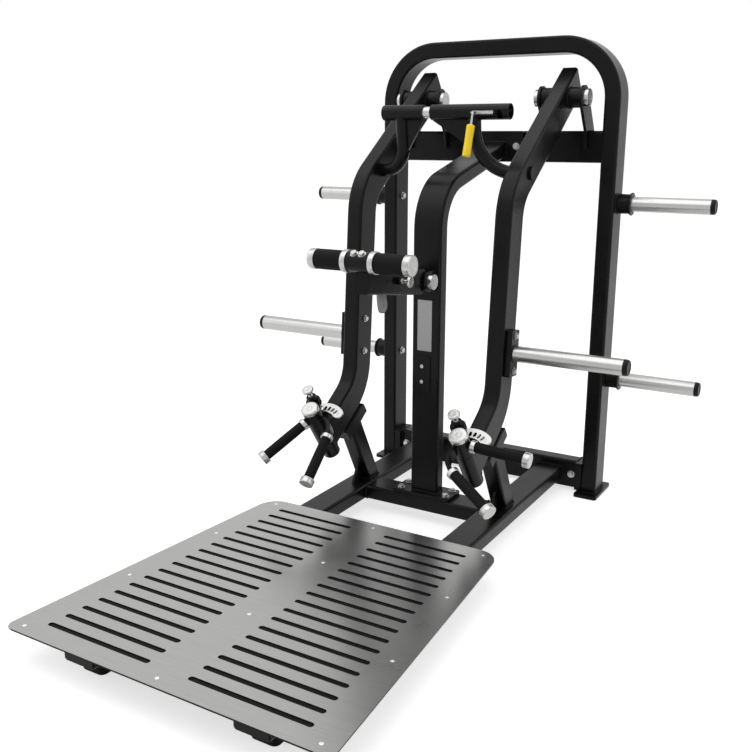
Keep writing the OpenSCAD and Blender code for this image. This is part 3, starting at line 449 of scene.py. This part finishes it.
piece("storage_flanged_bosses", [turned(boss, along_x((s * hoop_side, hoop_y, z), s))
                                 for s in (-1, 1) for z in storage_heights],
      "frame", "powder_black", powder_black, "storage_bosses")
for side, s in SIDES.items():
    piece(side + "_arm_end_plug", [turned(plug, along_x((s * horn_tip, horn_y, horn_z), s))],
          side + "_arm", "plastic_black", plastic_black, side + "_horn_cap")


# Plates with broken edges
# Laser-cut and punched plates: feet, flanges, brackets, sector plates, the platform's sheet. The shop
# breaks their sharp edges before coating, so each is a copy of its solid with the edges rounded. The
# platform's sheet is brushed on top only. Black paint on its cut edges and slot walls is painted shade.
plate_grey = coated("plate_grey", (0.25, 0.25, 0.25), (0.31, 0.31, 0.31),
                    rough=(0.35, 0.45), fineness=1.0, depth=0.00003, specular=0.3)
sheet_steel = bare_metal("sheet_steel", (0.44, 0.44, 0.435), (0.37, 0.37, 0.365),
                         rough=(0.27, 0.30), stretch=(10, 700, 700), depth=0.000003)
zinc_silver = bare_metal("zinc_silver", (0.48, 0.48, 0.475), (0.39, 0.39, 0.385),
                         rough=(0.26, 0.36), stretch=(260, 260, 260), depth=0.00001)
finish_solids("plate_grey", plate_grey)
finish_solids("sheet_steel", sheet_steel)
finish_solids("zinc_silver", zinc_silver)


def eased(node, width, finish, rim=None):
    """Merges a copy of a solid's loose triangles into flat faces and rounds its sharp edges by width.
    Where rim holds a paint, the upright faces take it as painted shade, dark edges and walls: those
    whose normal's Z is under a half."""
    cad = nodes[node]
    mesh = cad.data.copy()
    shape = bmesh.new()
    shape.from_mesh(mesh)
    bmesh.ops.remove_doubles(shape, verts=shape.verts, dist=1e-6)
    bmesh.ops.dissolve_limit(shape, angle_limit=math.radians(0.6), verts=shape.verts, edges=shape.edges)
    shape.to_mesh(mesh)
    shape.free()
    mesh.materials.clear()
    mesh.materials.append(finish)
    # Painted shade: the upright faces, such as cut edges and slot walls, take the rim paint.
    if rim:
        mesh.materials.append(rim)
        normals = np.empty(3 * len(mesh.polygons), np.float32)
        mesh.polygons.foreach_get("normal", normals)
        mesh.polygons.foreach_set("material_index", (np.abs(normals[2::3]) < 0.5).astype(np.int32))
    mesh.shade_smooth()
    mesh.set_sharp_from_angle(angle=math.radians(28))
    made = bpy.data.objects.new(node + "_eased", mesh)
    bpy.context.collection.objects.link(made)
    bevel = made.modifiers.new("broken_edge", "BEVEL")
    bevel.width = width * MM
    bevel.segments = 2
    bevel.limit_method = "ANGLE"
    bevel.angle_limit = math.radians(50)
    bevel.harden_normals = True
    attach(made, cad["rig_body"])
    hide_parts(node)
    return made


for node, width in (("foot_plates", 1.2), ("flange_plates", 1.0), ("pivot_brackets", 1.0),
                    ("t_bar_bracket", 1.0), ("left_horn_bracket", 1.6), ("right_horn_bracket", 1.6)):
    eased(node, width, powder_black)
eased("t_bar_position_plate", 0.6, plate_grey)
# The sheet's cut edges and slot walls take the black paint as painted shade.
eased("platform_sheet", 0.3, sheet_steel, rim=powder_black)
for side in SIDES:
    eased(side + "_sector_plate", 0.5, zinc_silver)


# Pads, plugs and flat covers
# Moulded rubber feet and rest pads, plastic plugs in the open tube ends, the blank label plate and
# the flat cover under it. Each is an outline with its own edge profile, pressed or screwed on.
rubber_black = coated("rubber_black", (0.004, 0.004, 0.0042), (0.007, 0.007, 0.007),
                      rough=(0.60, 0.72), fineness=1.4, depth=0.00007, specular=0.10)
label_metal = bare_metal("label_metal", (0.28, 0.28, 0.28), (0.23, 0.23, 0.23),
                         rough=(0.36, 0.44), stretch=(30, 30, 1400), depth=0.00001)
finish_solids("rubber_black", rubber_black)
finish_solids("label_aluminium", label_metal)


def outline(width, length, radius, steps=10):
    """Closed rectangle with round corners: four quarter circles, one after another."""
    a = np.radians(np.linspace(0, 90, steps + 1))[None, :] + np.radians([[0], [90], [180], [270]])
    x = np.array([[1], [-1], [-1], [1]]) * (width / 2 - radius) + radius * np.cos(a)
    y = np.array([[1], [1], [-1], [-1]]) * (length / 2 - radius) + radius * np.sin(a)
    loop = np.stack([x.ravel(), y.ravel()], 1)
    return np.vstack([loop, loop[:1]])


def slab(loop, profile, frame_of):
    """Pressed slab: at a profile point (inset, z) the outline lies inset along its inward normal, and
    both ends close on its middle."""
    way = np.roll(loop[:-1], -1, 0) - np.roll(loop[:-1], 1, 0)
    way = way / np.linalg.norm(way, axis=1)[:, None]
    inward = np.vstack([np.stack([-way[:, 1], way[:, 0]], 1), [[-way[0, 1], way[0, 0]]]])
    inset, z = np.asarray(profile, float).T
    flat = loop[:, None] + inward[:, None] * inset[None, :, None]
    middle = np.broadcast_to(loop.mean(0), (len(loop), 1, 2))
    flat = np.concatenate([middle, flat, middle], 1)
    high = np.broadcast_to(np.concatenate([[z[0]], z, [z[-1]]]), flat.shape[:2])
    grid = np.concatenate([flat, high[..., None]], -1)
    return lattice(grid, frame_of, grid[..., :2] * MM)


def edge(height, radius):
    """Profile of a slab's edge with both its corners rounded."""
    return softened([(radius * 1.5, 0), (0, 0), (0, height), (radius * 1.5, height)], radius, 5)


def joint_place(name):
    """Where a joint's axis lies at rest, in millimetres."""
    joint = next(one for one in frame["joints"] if one["name"] == name)
    return [value / MM for value in joint["pos_m"]]


arm_slope, upper_slope, arm_top = 34.5, 35.4, 99.0
rail_x, pivot_y, pivot_z = joint_place("right_arm_swing")
hub_place = joint_place("right_handle_turn")


def hub_frame(side):
    """Frame of an arm's lower end: Y along the arm, Z along the handle's axis."""
    return mirrored(side) @ move(*hub_place) @ turn("X", arm_slope)


def flat_cover(node, radius, rim):
    """A plate on the post's front, as wide, long and thick as its solid, with a rounded rim."""
    low, high = box_of(node)
    width, thick, length = high - low
    middle = (low + high) / 2
    place = move(middle[0], high[1], middle[2]) @ turn("X", 90)
    return slab(outline(width, length, radius), edge(thick, rim), place)


rail_low, rail_high = box_of("side_rails")
rail_front, rail_z = rail_low[1], (rail_low[2] + rail_high[2]) / 2
foot_low, foot_high = box_of("foot_pads")
front_foot_y = (foot_low[1] + foot_high[1]) / 2
foot_pad = outline(76, 102, 16)
ribbed = softened([(6, 0), (0, 0), (0, 6), (1.2, 7), (1.2, 9), (0, 10), (0, 15), (1.2, 16), (1.2, 18),
                   (0, 19), (0, 26), (6, 26)], 1.2, 3)
feet = [slab(foot_pad, ribbed, move(s * rail_x, front_foot_y, 0)) for s in (-1, 1)]
piece("rubber_feet", feet, "frame", "rubber_black", rubber_black, "foot_pads")

rest_pad, rest_pad_t = outline(60, 121, 5), 10
rest_pad_y, rest_pad_z = 130.5, -60.3
cushions = [slab(rest_pad, edge(rest_pad_t, 3), hub_frame(s) @ move(0, rest_pad_y, rest_pad_z))
            for s in (-1, 1)]
piece("rest_cushions", cushions, "frame", "rubber_black", rubber_black, "rest_pads")

rail_w, rail_h = 100, 50
arm_w, arm_d = 55, 100
plug_inset = 2
rail_plug = outline(rail_w - 2 * plug_inset, rail_h - 2 * plug_inset, 8)
rail_plugs = [slab(rail_plug, edge(2.5, 1.2), move(s * rail_x, rail_front, rail_z) @ turn("X", 90))
              for s in (-1, 1)]
piece("rail_end_plugs", rail_plugs, "frame", "plastic_black", plastic_black)
piece("blank_label", [flat_cover("label_plate", 2, 0.6)], "frame", "label_aluminium", label_metal,
      "label_plate")
piece("post_cover", [flat_cover("post_cover_plate", 6, 1.4)], "frame", "powder_black", powder_black,
      "post_cover_plate")
arm_plug = outline(arm_w - 2 * plug_inset, arm_d - 2 * plug_inset, 8)
for side, s in SIDES.items():
    top = mirrored(s) @ move(rail_x, pivot_y, pivot_z) @ turn("X", upper_slope - 90) @ move(0, 0, arm_top)
    piece(side + "_arm_top_plug", [slab(arm_plug, edge(2.2, 1.2), top)],
          side + "_arm", "plastic_black", plastic_black)


# Bolts and screws
# Zinc-plated hexagon bolts with washers through the flanges, and countersunk socket screws that hold
# the platform and the cover.
NO_FLATS = 99.0


def hexed(levels, frame_of):
    """Turned shape with flats: at angle a, a level (r, corner, z) lies at the smaller of r and the
    side of a hexagon, corner cos 30 / cos(a mod 60 - 30 degrees). A corner of NO_FLATS, which is past
    every radius, leaves the level round."""
    r, corner, z = np.asarray(levels, float).T
    a = np.radians(np.linspace(0, 360, 73))[:, None]
    side = corner * math.cos(math.pi / 6) / np.cos(np.mod(a + 1e-9, math.pi / 3) - math.pi / 6)
    radius = np.minimum(r, side)
    grid = np.stack([radius * np.cos(a), radius * np.sin(a), z + 0 * a], -1)
    run = np.broadcast_to(np.arange(len(z)) * 0.002, grid.shape[:2])
    return lattice(grid, frame_of, np.stack([a / (2 * np.pi) + 0 * r, run], -1))


def bolt(size, frame_of):
    """Washer and hexagon head with its chamfered corners and dished top; size is half the width over
    the corners."""
    washer_t = 2
    top, dish = washer_t + 0.7 * size, washer_t + 0.65 * size
    washer = softened([(0, 0), (1.25 * size, 0), (1.25 * size, washer_t), (0, washer_t)], 0.4, 3)
    head = [(0, size, washer_t), (0.93 * size, size, washer_t), (size, size, washer_t + 0.5),
            (size, size, top - 0.16 * size), (0.88 * size, size, top), (0.6 * size, size, top),
            (0.55 * size, size, dish), (0, size, dish)]
    return [turned(washer, frame_of), hexed(head, frame_of)]


def screw(size, height, frame_of):
    """Flat countersunk head of radius size, with a hexagon socket."""
    rim, bottom = height - 0.4, height - 1.6
    levels = [(0, NO_FLATS, 0), (size, NO_FLATS, 0), (size, NO_FLATS, rim), (size - 0.5, NO_FLATS, height),
              (size, 0.5 * size, height), (size, 0.5 * size, bottom), (0, NO_FLATS, bottom)]
    return [hexed(levels, frame_of)]


post_front, post_foot_z = box_of("centre_post")[0][1:]
cross_low, cross_high = box_of("post_cross_member")
post_y = (cross_low[1] + cross_high[1]) / 2
beam_low, beam_high = box_of("upper_crossbeam")
hoop_inside, beam_front, beam_z = beam_high[0], beam_low[1], (beam_low[2] + beam_high[2]) / 2
flange_x, flange_t = box_of("lower_crossbeam")[1][0], 12
post_bolt_x, post_bolt_y = 84, 28
beam_bolt_x, rail_bolt_in = 86, 20
fasteners = []
for s in (-1, 1):
    for k in (-1, 1):
        fasteners += bolt(10, move(post_bolt_x * s, post_y + post_bolt_y * k, post_foot_z))
    fasteners += bolt(10, move(beam_bolt_x * s, beam_front - flange_t, beam_z) @ turn("X", 90))
    fasteners += bolt(11, move(s * (flange_x - rail_bolt_in), beam_front, rail_z) @ turn("X", 90))
    for z in storage_heights:
        fasteners += bolt(11, along_x((s * hoop_inside, hoop_y, z), -s))

platform_low, platform_high = box_of("platform_sheet")
platform_front, platform_top = platform_low[1], platform_high[2]
platform_l, platform_half, platform_taper = platform_high[1] - platform_low[1], 489, 0.0765
screw_r, screw_h, screw_inset = 5.5, 3, 42
platform_screws = []
for share in (0.029, 0.359, 0.694, 0.97):
    half = platform_half - platform_l * share * platform_taper - screw_inset
    for s in (-1, 0, 1):
        place = move(s * half, platform_front + platform_l * share, platform_top - screw_h)
        platform_screws += screw(screw_r, screw_h, place)
cover_front, cover_screw_x = box_of("post_cover_plate")[0][1], -10
for z in (486, 538):
    fasteners += screw(6, 2.5, move(cover_screw_x, cover_front, z) @ turn("X", 90))
piece("frame_bolts_and_screws", fasteners, "frame", "zinc_silver", zinc_silver, "frame_fasteners")
# A paler copy of the zinc for the platform's small screw heads: a painted glint, so they show as bright
# dots.
zinc_painted_glint = bare_metal("zinc_painted_glint", (0.95, 0.95, 0.94), (0.86, 0.86, 0.85),
                         rough=(0.36, 0.44), stretch=(260, 260, 260), depth=0.000003)
piece("platform_screws", platform_screws, "frame", "zinc_silver", zinc_painted_glint)

horn_lean, horn_bolt_reach = 4.3, 55
bracket_out, bracket_in = 47.5, 27.5
shank_r, shank_l = 6, bracket_out + bracket_in
for side, s in SIDES.items():
    bolts = []
    for k in (-1, 1):
        y = horn_y + k * horn_bolt_reach * math.sin(math.radians(horn_lean))
        z = horn_z + k * horn_bolt_reach * math.cos(math.radians(horn_lean))
        bolts += bolt(9, mirrored(s) @ along_x((rail_x + bracket_out, y, z)))
        inner_face = mirrored(s) @ along_x((rail_x - bracket_in, y, z), -1)
        bolts += bolt(9, inner_face)
        back = mirrored(s) @ along_x((rail_x - bracket_in, y, z))
        bolts.append(turned([(0, 0), (shank_r, 0), (shank_r, shank_l), (0, shank_l)], back))
    piece(side + "_sleeve_bolts", bolts, side + "_arm", "zinc_silver", zinc_silver, side + "_horn_bolts")


# Pivot axles
# Turned and plated shafts that the arms and the T-bar swing on, held by wide caps with a faint ring
# round their centre.
def turned_metal(name, colour, dull, rough, depth):
    """Plated metal off the lathe: fine grooves run round it, from a UV map of turns and length."""
    material = bpy.data.materials.new(name)
    material.use_nodes = True
    tree = material.node_tree
    shader = tree.nodes["Principled BSDF"]
    surface = tree.nodes.new("ShaderNodeUVMap")
    surface.uv_map = "surface"
    stretched = tree.nodes.new("ShaderNodeVectorMath")
    stretched.operation = "MULTIPLY"
    stretched.inputs[1].default_value = (3, 2600, 1)
    tree.links.new(surface.outputs["UV"], stretched.inputs[0])
    grooves = add_noise(tree, stretched.outputs["Vector"], scale=1, detail=3, rough=0.6)
    cloud = add_noise(tree, surface.outputs["UV"], scale=7, detail=4)
    mask = add_ramp(tree, grooves, 0.3, 0.7, 0, 1)
    tree.links.new(add_colours(tree, mask, colour, dull), shader.inputs["Base Color"])
    tree.links.new(add_ramp(tree, cloud, 0.3, 0.7, rough[0], rough[1]), shader.inputs["Roughness"])
    tree.links.new(add_bump(tree, grooves, depth), shader.inputs["Normal"])
    shader.inputs["Metallic"].default_value = 1.0
    return material


turned_zinc = turned_metal("turned_zinc", (0.48, 0.48, 0.475), (0.38, 0.38, 0.375),
                           rough=(0.22, 0.32), depth=0.00001)


def capped_axle(shaft, half, cap, thick, frame_of):
    """Shaft with a cap at each end; each cap's face has a shallow ring groove."""
    far = half + thick
    end = [(cap, half), (cap, far), (0.5 * cap, far), (0.48 * cap, far - 0.5), (0.42 * cap, far - 0.5),
           (0.4 * cap, far), (0, far)]
    profile = [(r, -z) for r, z in end[::-1]] + [(shaft, -half), (shaft, half)] + end
    rounding = [1, 2.2, 0.2, 0.2, 0.2, 0.2, 0]
    return turned(softened(profile, [*rounding[::-1], 0, 0, *rounding], 5), frame_of)


axles = [capped_axle(shaft=15, half=77, cap=28, thick=16, frame_of=along_x((s * rail_x, pivot_y, pivot_z)))
         for s in (-1, 1)]
piece("arm_axles", axles, "frame", "zinc_silver", turned_zinc, "pivot_axles")
t_x, t_y, t_z = joint_place("t_bar_tilt")
t_axle = capped_axle(shaft=12, half=34, cap=24.5, thick=18, frame_of=along_x((t_x, t_y, t_z)))
piece("t_bar_axle", [t_axle], "frame", "zinc_silver", turned_zinc, "t_bar_pivot_pin")


# T-bar
# A short crossbar with two rubber grips between silver rings and end caps; a spring pin with a round
# knob locks the bar to the holes of its position plate.
t_rise, t_reach, t_lift, t_pin_reach = 8.4, 364, 48, 190
SIDE_PLANE = np.array([[0, 0, 1, 0], [1, 0, 0, 0], [0, 1, 0, 0], [0, 0, 0, 1]], float)
T_FRAME = SIDE_PLANE @ move(t_y, t_z, 0) @ np.diag([-1.0, 1, 1, 1]) @ turn("Z", t_rise)
CROSS = T_FRAME @ move(t_reach, t_lift, 0)


def ring(inner, outer, low, high, radius):
    """Closed profile of a ring or tube with rounded outer corners."""
    return softened([(inner, low), (outer, low), (outer, high), (inner, high)],
                    [0.3, radius, radius, 0.3], 5, closed=True)


def rubber_sleeve(inner, outer, low, high):
    """Grip profile: a slight belly along its length, and a lip at each end."""
    z = np.linspace(low + 3, high - 3, 25)
    r = outer - 0.7 + 0.7 * np.sin(np.pi * (z - low) / (high - low)) ** 0.5
    body = np.stack([r, z], 1)
    ends = np.array([[outer - 0.3, high - 2], [outer - 0.6, high], [inner, high], [inner, low],
                     [outer - 0.6, low], [outer - 0.3, low + 2]])
    return np.vstack([body, ends, body[:1]])


def end_cap(radius, low, high):
    """Turned cap with a rounded rim, a groove round its side and a dished face."""
    waist = radius - 0.6
    return softened([(0, low), (radius - 1, low), (radius, low + 1), (radius, low + 4), (waist, low + 4.6),
                     (waist, low + 5.4), (radius, low + 6), (radius, high), (0.55 * radius, high),
                     (0.52 * radius, high - 0.5), (0, high - 0.5)],
                    [0, 0.8, 0.8, 0.3, 0.3, 0.3, 0.3, 3.2, 0.4, 0.4, 0], 5)


t_bolt_out, t_bolt_r, t_bolt_turn = 13, 27.5, 57 - t_rise
t_core_r, t_ring_r, t_grip_r, t_cap_r = 22, 33, 29.5, 30
ring_from, grip_from, cap_from, cap_to = 37, 54, 146, 167
trim, grips = [], []
for s in (-1, 1):
    half_frame = CROSS @ np.diag([1.0, 1, s, 1])
    trim.append(turned(ring(t_core_r, t_ring_r, ring_from, grip_from, 2), half_frame))
    trim.append(turned(end_cap(t_cap_r, cap_from, cap_to), half_frame))
    grips.append(turned(rubber_sleeve(t_core_r, t_grip_r, grip_from, cap_from), half_frame))
    bolt_place = move(0, 0, t_bolt_out) @ turn("Z", t_bolt_turn) @ move(t_bolt_r, 0, 0) @ turn("Y", 90)
    trim += bolt(9.5, half_frame @ bolt_place)
piece("t_bar_rings_and_caps", trim, "t_bar", "zinc_silver", turned_zinc, "t_bar_trim")
piece("t_bar_rubber_grips", grips, "t_bar", "rubber_black", rubber_black, "t_bar_grips")


def knob_profile(low, thick, radius, pin, tip):
    """Pull knob on its pin: tip, shank, flared underside, rounded rim and dished face."""
    return softened([(0, tip), (pin, tip), (pin, low), (0.62 * radius, low), (radius, low + 0.3 * thick),
                     (radius, low + 0.8 * thick), (0.8 * radius, low + thick), (0.35 * radius, low + thick),
                     (0.3 * radius, low + thick - 0.6), (0, low + thick - 0.6)],
                    [0, 1, 1, 1.5, 1.5, 2, 1.5, 0.4, 0.4, 0], 5)


def lock_nut(size, low, high, bore, frame_of):
    """Hexagon nut under a knob, chamfered at both ends."""
    levels = [(bore, NO_FLATS, low), (0.9 * size, size, low), (size, size, low + 0.8),
              (size, size, high - 0.8), (0.9 * size, size, high), (bore, NO_FLATS, high),
              (bore, NO_FLATS, low)]
    return hexed(levels, frame_of)


nut_w, nut_t = 8, 6
t_knob_z, t_nut_z, t_pin_r = 62, 37.4, 5
pin_frame = T_FRAME @ move(t_pin_reach, 0, 0)
t_knob = turned(knob_profile(low=t_knob_z, thick=10, radius=17, pin=t_pin_r, tip=-24.5), pin_frame)
t_nut = lock_nut(nut_w, t_nut_z, t_nut_z + nut_t, t_pin_r, pin_frame)
piece("t_bar_knob_and_pin", [t_knob, t_nut], "t_bar_pin", "zinc_silver", turned_zinc, "t_bar_pull_pin")


# Handles
# Rubber grips between silver collars and caps, a flat hub cap over the axle, and a pull-pin with a
# round knob. The left handle is the mirror image, turned 60 degrees to its other end slot. Two flat
# screws hold each sector plate.
left_turn = -60
grip_tilt = 96
outer_grip_x, outer_grip_z = 32.5, 99
bar_turn, bar_bend = 240, 87.5
bar_start, bar_r, bar_z, bar_lap = 28.5, 49.5, 89, 5
core_r, grip_r, collar_r, cap_r = 11, 16.5, 19.5, 22.5
collar_to, rubber_to, handle_cap_to = 14, 161, 181
axle_r, axle_low, hub_cap_r = 12.5, -70, 29.3
cap_z, cap_lip, cap_top = 131, 140, 145
pin_reach, pin_turn, pin_r = 70, math.radians(120), 4
pin_tip, nut_z, knob_z = 62.5, 123.4, 147
tab_reach, tab_turn, sector_top, screw_sunk = 74, 41, 62, 2.5
hub_cap = softened([(0, axle_low), (axle_r, axle_low), (axle_r, cap_z), (hub_cap_r, cap_z),
                    (hub_cap_r, cap_lip), (25.5, cap_top), (9, cap_top), (8.6, cap_top - 0.5),
                    (7.6, cap_top - 0.5), (7.2, cap_top), (0, cap_top)],
                   [0, 1, 0, 0.5, 2.5, 2, 0.2, 0.2, 0.2, 0.2, 0], 5)
bend = math.radians(bar_bend)
bar_end = (move(bar_start + bar_r * math.sin(bend), bar_r * (1 - math.cos(bend)), bar_z)
           @ turn("Z", bar_bend) @ move(bar_lap, 0, 0))
pin_place = move(pin_reach * math.cos(pin_turn), pin_reach * math.sin(pin_turn), 0)
for side, s in SIDES.items():
    handle = hub_frame(s) @ turn("Z", 0 if s > 0 else left_turn)
    outer = handle @ move(outer_grip_x, 0, outer_grip_z) @ turn("Y", grip_tilt)
    inner = handle @ turn("Z", bar_turn) @ bar_end @ turn("Y", grip_tilt)
    trim, grips = [], []
    for root in (outer, inner):
        trim.append(turned(ring(core_r, collar_r, 0, collar_to, 1.8), root))
        trim.append(turned(end_cap(cap_r, rubber_to, handle_cap_to), root))
        grips.append(turned(rubber_sleeve(core_r, grip_r, collar_to, rubber_to), root))
    piece(side + "_handle_collars", trim, side + "_handle", "zinc_silver", turned_zinc,
          side + "_handle_trim")
    piece(side + "_rubber_grips", grips, side + "_handle", "rubber_black", rubber_black,
          side + "_handle_grips")
    piece(side + "_hub_cap", [turned(hub_cap, handle)], side + "_handle", "zinc_silver", turned_zinc,
          side + "_handle_axle")
    pin = handle @ pin_place
    knob = turned(knob_profile(low=knob_z, thick=14, radius=19, pin=pin_r, tip=pin_tip), pin)
    nut = lock_nut(nut_w, nut_z, nut_z + nut_t, pin_r, pin)
    piece(side + "_knob_and_pin", [knob, nut], side + "_pin", "zinc_silver", turned_zinc,
          side + "_handle_pin")
    ends = []
    for k in (-tab_turn, tab_turn):
        tab = hub_frame(s) @ turn("Z", k) @ move(0, tab_reach, sector_top - screw_sunk)
        ends += screw(5, screw_h, tab)
    piece(side + "_sector_screws", ends, side + "_arm", "zinc_silver", zinc_silver)


# Link lever
# The yellow grip on the end of the link bolt's lever. It is moulded on to the steel rod, with a slight
# waist and a rounded top round the rod.
yellow_plastic = coated("yellow_plastic", (0.93, 0.66, 0.02), (0.88, 0.61, 0.015),
                        rough=(0.32, 0.42), fineness=1.6, depth=0.00003, specular=0.4)
finish_solids("yellow_plastic", yellow_plastic)
link_y, link_z = 445.5, 1341.0
rod_reach, rod_drop = 38, 8
lever_x, lever_lean, lever_swing = 115, 3, -11
rod_y = link_y - rod_reach * math.cos(math.radians(rod_drop))
rod_z = link_z - rod_reach * math.sin(math.radians(rod_drop))
lever = move(lever_x, rod_y, rod_z) @ turn("Y", lever_lean) @ turn("X", lever_swing)
lever_r, waist_in, waist_low, waist_high = 13, 0.6, -126, -42
z = np.linspace(waist_low, waist_high, 21)
hollow = waist_in * np.sin(np.pi * (z - waist_low) / (waist_high - waist_low)) ** 2
waist = np.stack([lever_r - hollow, z], 1)
crown = softened([(lever_r, waist_high), (12.6, -36), (9, -34), (3.5, -34), (3.5, -46), (0, -46)],
                 [0, 3, 2, 0.3, 0.3, 0], 5)
foot = softened([(0, -132), (9, -132), (12.6, -130), (lever_r, waist_low)], [0, 2, 3, 0], 5)
piece("lever_yellow_grip", [turned(np.vstack([foot, waist, crown]), lever)],
      "link_slider", "yellow_plastic", yellow_plastic, "link_lever_grip")


# Welds
# Rippled beads where tubes and plates meet, coated black with the frame. An upright seam lies in the
# side plane, because a bead can't run along its frame's Z axis.
def bead(path, frame_of, size=2.8, ripple=4.2, closed=True):
    """Weld seam: a circle of radius size (1 + 0.13 sin(2 pi s / ripple)) runs along the path, and an
    open seam closes to a point at both ends."""
    path = np.asarray(path, float)
    if closed:
        path = np.vstack([path, path[:1]])
    run = np.concatenate([[0], np.cumsum(np.linalg.norm(np.diff(path, axis=0), axis=1))])
    count = max(int(run[-1] / 1.4), 8)
    at = np.linspace(0, run[-1], count + 1)
    spine = np.stack([np.interp(at, run, path[:, i]) for i in range(3)], 1)
    if closed:
        way = np.roll(spine[:-1], -1, 0) - np.roll(spine[:-1], 1, 0)
        way = np.vstack([way, way[:1]])
    else:
        way = np.gradient(spine, axis=0)
    way = way / np.linalg.norm(way, axis=1)[:, None]
    out = np.cross(way, [0, 0, 1.0])
    out = out / np.maximum(np.linalg.norm(out, axis=1), 1e-9)[:, None]
    up = np.cross(out, way)
    cycles = max(round(run[-1] / ripple), 1)
    radius = size * (1 + 0.13 * np.sin(2 * np.pi * cycles * at / run[-1]))
    if not closed:
        radius = radius * np.clip(np.minimum(at, run[-1] - at) / size, 0, 1) ** 0.5
    b = np.linspace(0, 2 * np.pi, 9)[None, :, None]
    grid = spine[:, None] + radius[:, None, None] * (np.cos(b) * out[:, None] + np.sin(b) * up[:, None])
    run_uv = np.broadcast_to((at * MM)[:, None], grid.shape[:2])
    return lattice(grid, frame_of, np.stack([run_uv, np.broadcast_to(b[..., 0], grid.shape[:2])], -1))


def round_joint(width, length):
    """Seam round a rectangular tube, in its frame's XY plane; its corners have a radius of 9."""
    loop = outline(width, length, 9)
    return np.column_stack([loop[:-1], np.zeros(len(loop) - 1)])


def arc(radius, start=0, stop=352.5, z=0.0, steps=48):
    """Part of a circle about the frame's Z axis; left as it is, it goes all round."""
    a = np.radians(np.linspace(start, stop, steps))
    return np.stack([radius * np.cos(a), radius * np.sin(a), np.full(steps, z)], 1)


hoop_w, hoop_d = 55, 100
hoop_x, foot_top = hoop_side - hoop_w / 2, hoop_low[2]
beam_h, beam_d, beam_top = 105, 60, beam_high[2]
strut_w, strut_d, strut_y = 56, 71, 406.4
rail_top, cross_end = rail_high[2], cross_high[0]
lug_x, lug_front, lug_back = (67, 77), beam_front + 8, 901
cheek_x, cheek_low, cheek_high = (26, 34), 794, 858
post_w, post_d, post_cut = 100, 50, 52
post_back, post_top = box_of("centre_post")[1][1], 1223
seams = []
for s in (-1, 1):
    seams.append(bead(round_joint(hoop_w, hoop_d), move(hoop_x * s, hoop_y, foot_top)))
    seams.append(bead(round_joint(beam_h, beam_d), along_x((hoop_inside * s, hoop_y, beam_z))))
    seams.append(bead(round_joint(beam_h, beam_d), along_x((flange_x * s, hoop_y, rail_z))))
    seams.append(bead(round_joint(rail_w, rail_h), move(rail_x * s, beam_front, rail_z) @ turn("X", 90)))
    seams.append(bead(round_joint(rail_h, rail_w), along_x((cross_end * s, post_y, rail_z))))
    seams.append(bead(round_joint(strut_w, strut_d), move(rail_x * s, strut_y, rail_top)))
    for z in storage_heights:
        seams.append(bead(arc(boss_r), along_x((hoop_side * s, hoop_y, z))))
    for x in lug_x:
        for k in (-1, 1):
            lug = rail_x * s + k * x
            base = [(lug, lug_front, beam_top), (lug, lug_back, beam_top)]
            seams.append(bead(base, np.eye(4), closed=False))
    for x in cheek_x:
        upright = [(post_front, cheek_low, x * s), (post_front, cheek_high, x * s)]
        seams.append(bead(upright, SIDE_PLANE, 2.2, closed=False))
seams.append(bead(round_joint(post_w, post_d), move(0, post_y, post_foot_z)))
seams.append(bead(round_joint(post_w, post_cut), move(0, post_back, post_top) @ turn("X", 90)))
piece("frame_welds", seams, "frame", "powder_black", powder_black)
pivot_r, housing_r, weld_z = 33, 28.5, 50
for side, s in SIDES.items():
    seams = []
    for k in (-1, 1):
        seams.append(bead(arc(pivot_r), mirrored(s) @ along_x((rail_x + arm_w / 2 * k, pivot_y, pivot_z))))
    seams.append(bead(arc(sleeve_r), mirrored(s) @ along_x((rail_x + bracket_out, horn_y, horn_z))))
    for z in (-weld_z, weld_z):
        seams.append(bead(arc(housing_r, 14, 166, z), hub_frame(s), closed=False))
    piece(side + "_arm_welds", seams, side + "_arm", "powder_black", powder_black)
bar_tube_r, link_tube_r, link_tilt = 21, 24.0, 6.3
for side, bar_x in (("left", -154), ("right", 103)):
    x, y = arc(bar_tube_r).T[:2]
    saddle = np.stack([bar_x + x, y, -np.sqrt(link_tube_r ** 2 - y ** 2)], 1)
    piece(side + "_link_welds", [bead(saddle, move(0, link_y, link_z) @ turn("X", link_tilt), 2.2)],
          side + "_arm", "powder_black", powder_black)
seams = [bead(arc(t_grip_r, 196, 262, z, 30), CROSS, 2.0, closed=False) for z in (-25, 25)]
piece("t_bar_welds", seams, "t_bar", "powder_black", powder_black)


bpy.context.scene.view_settings.view_transform = "Standard"
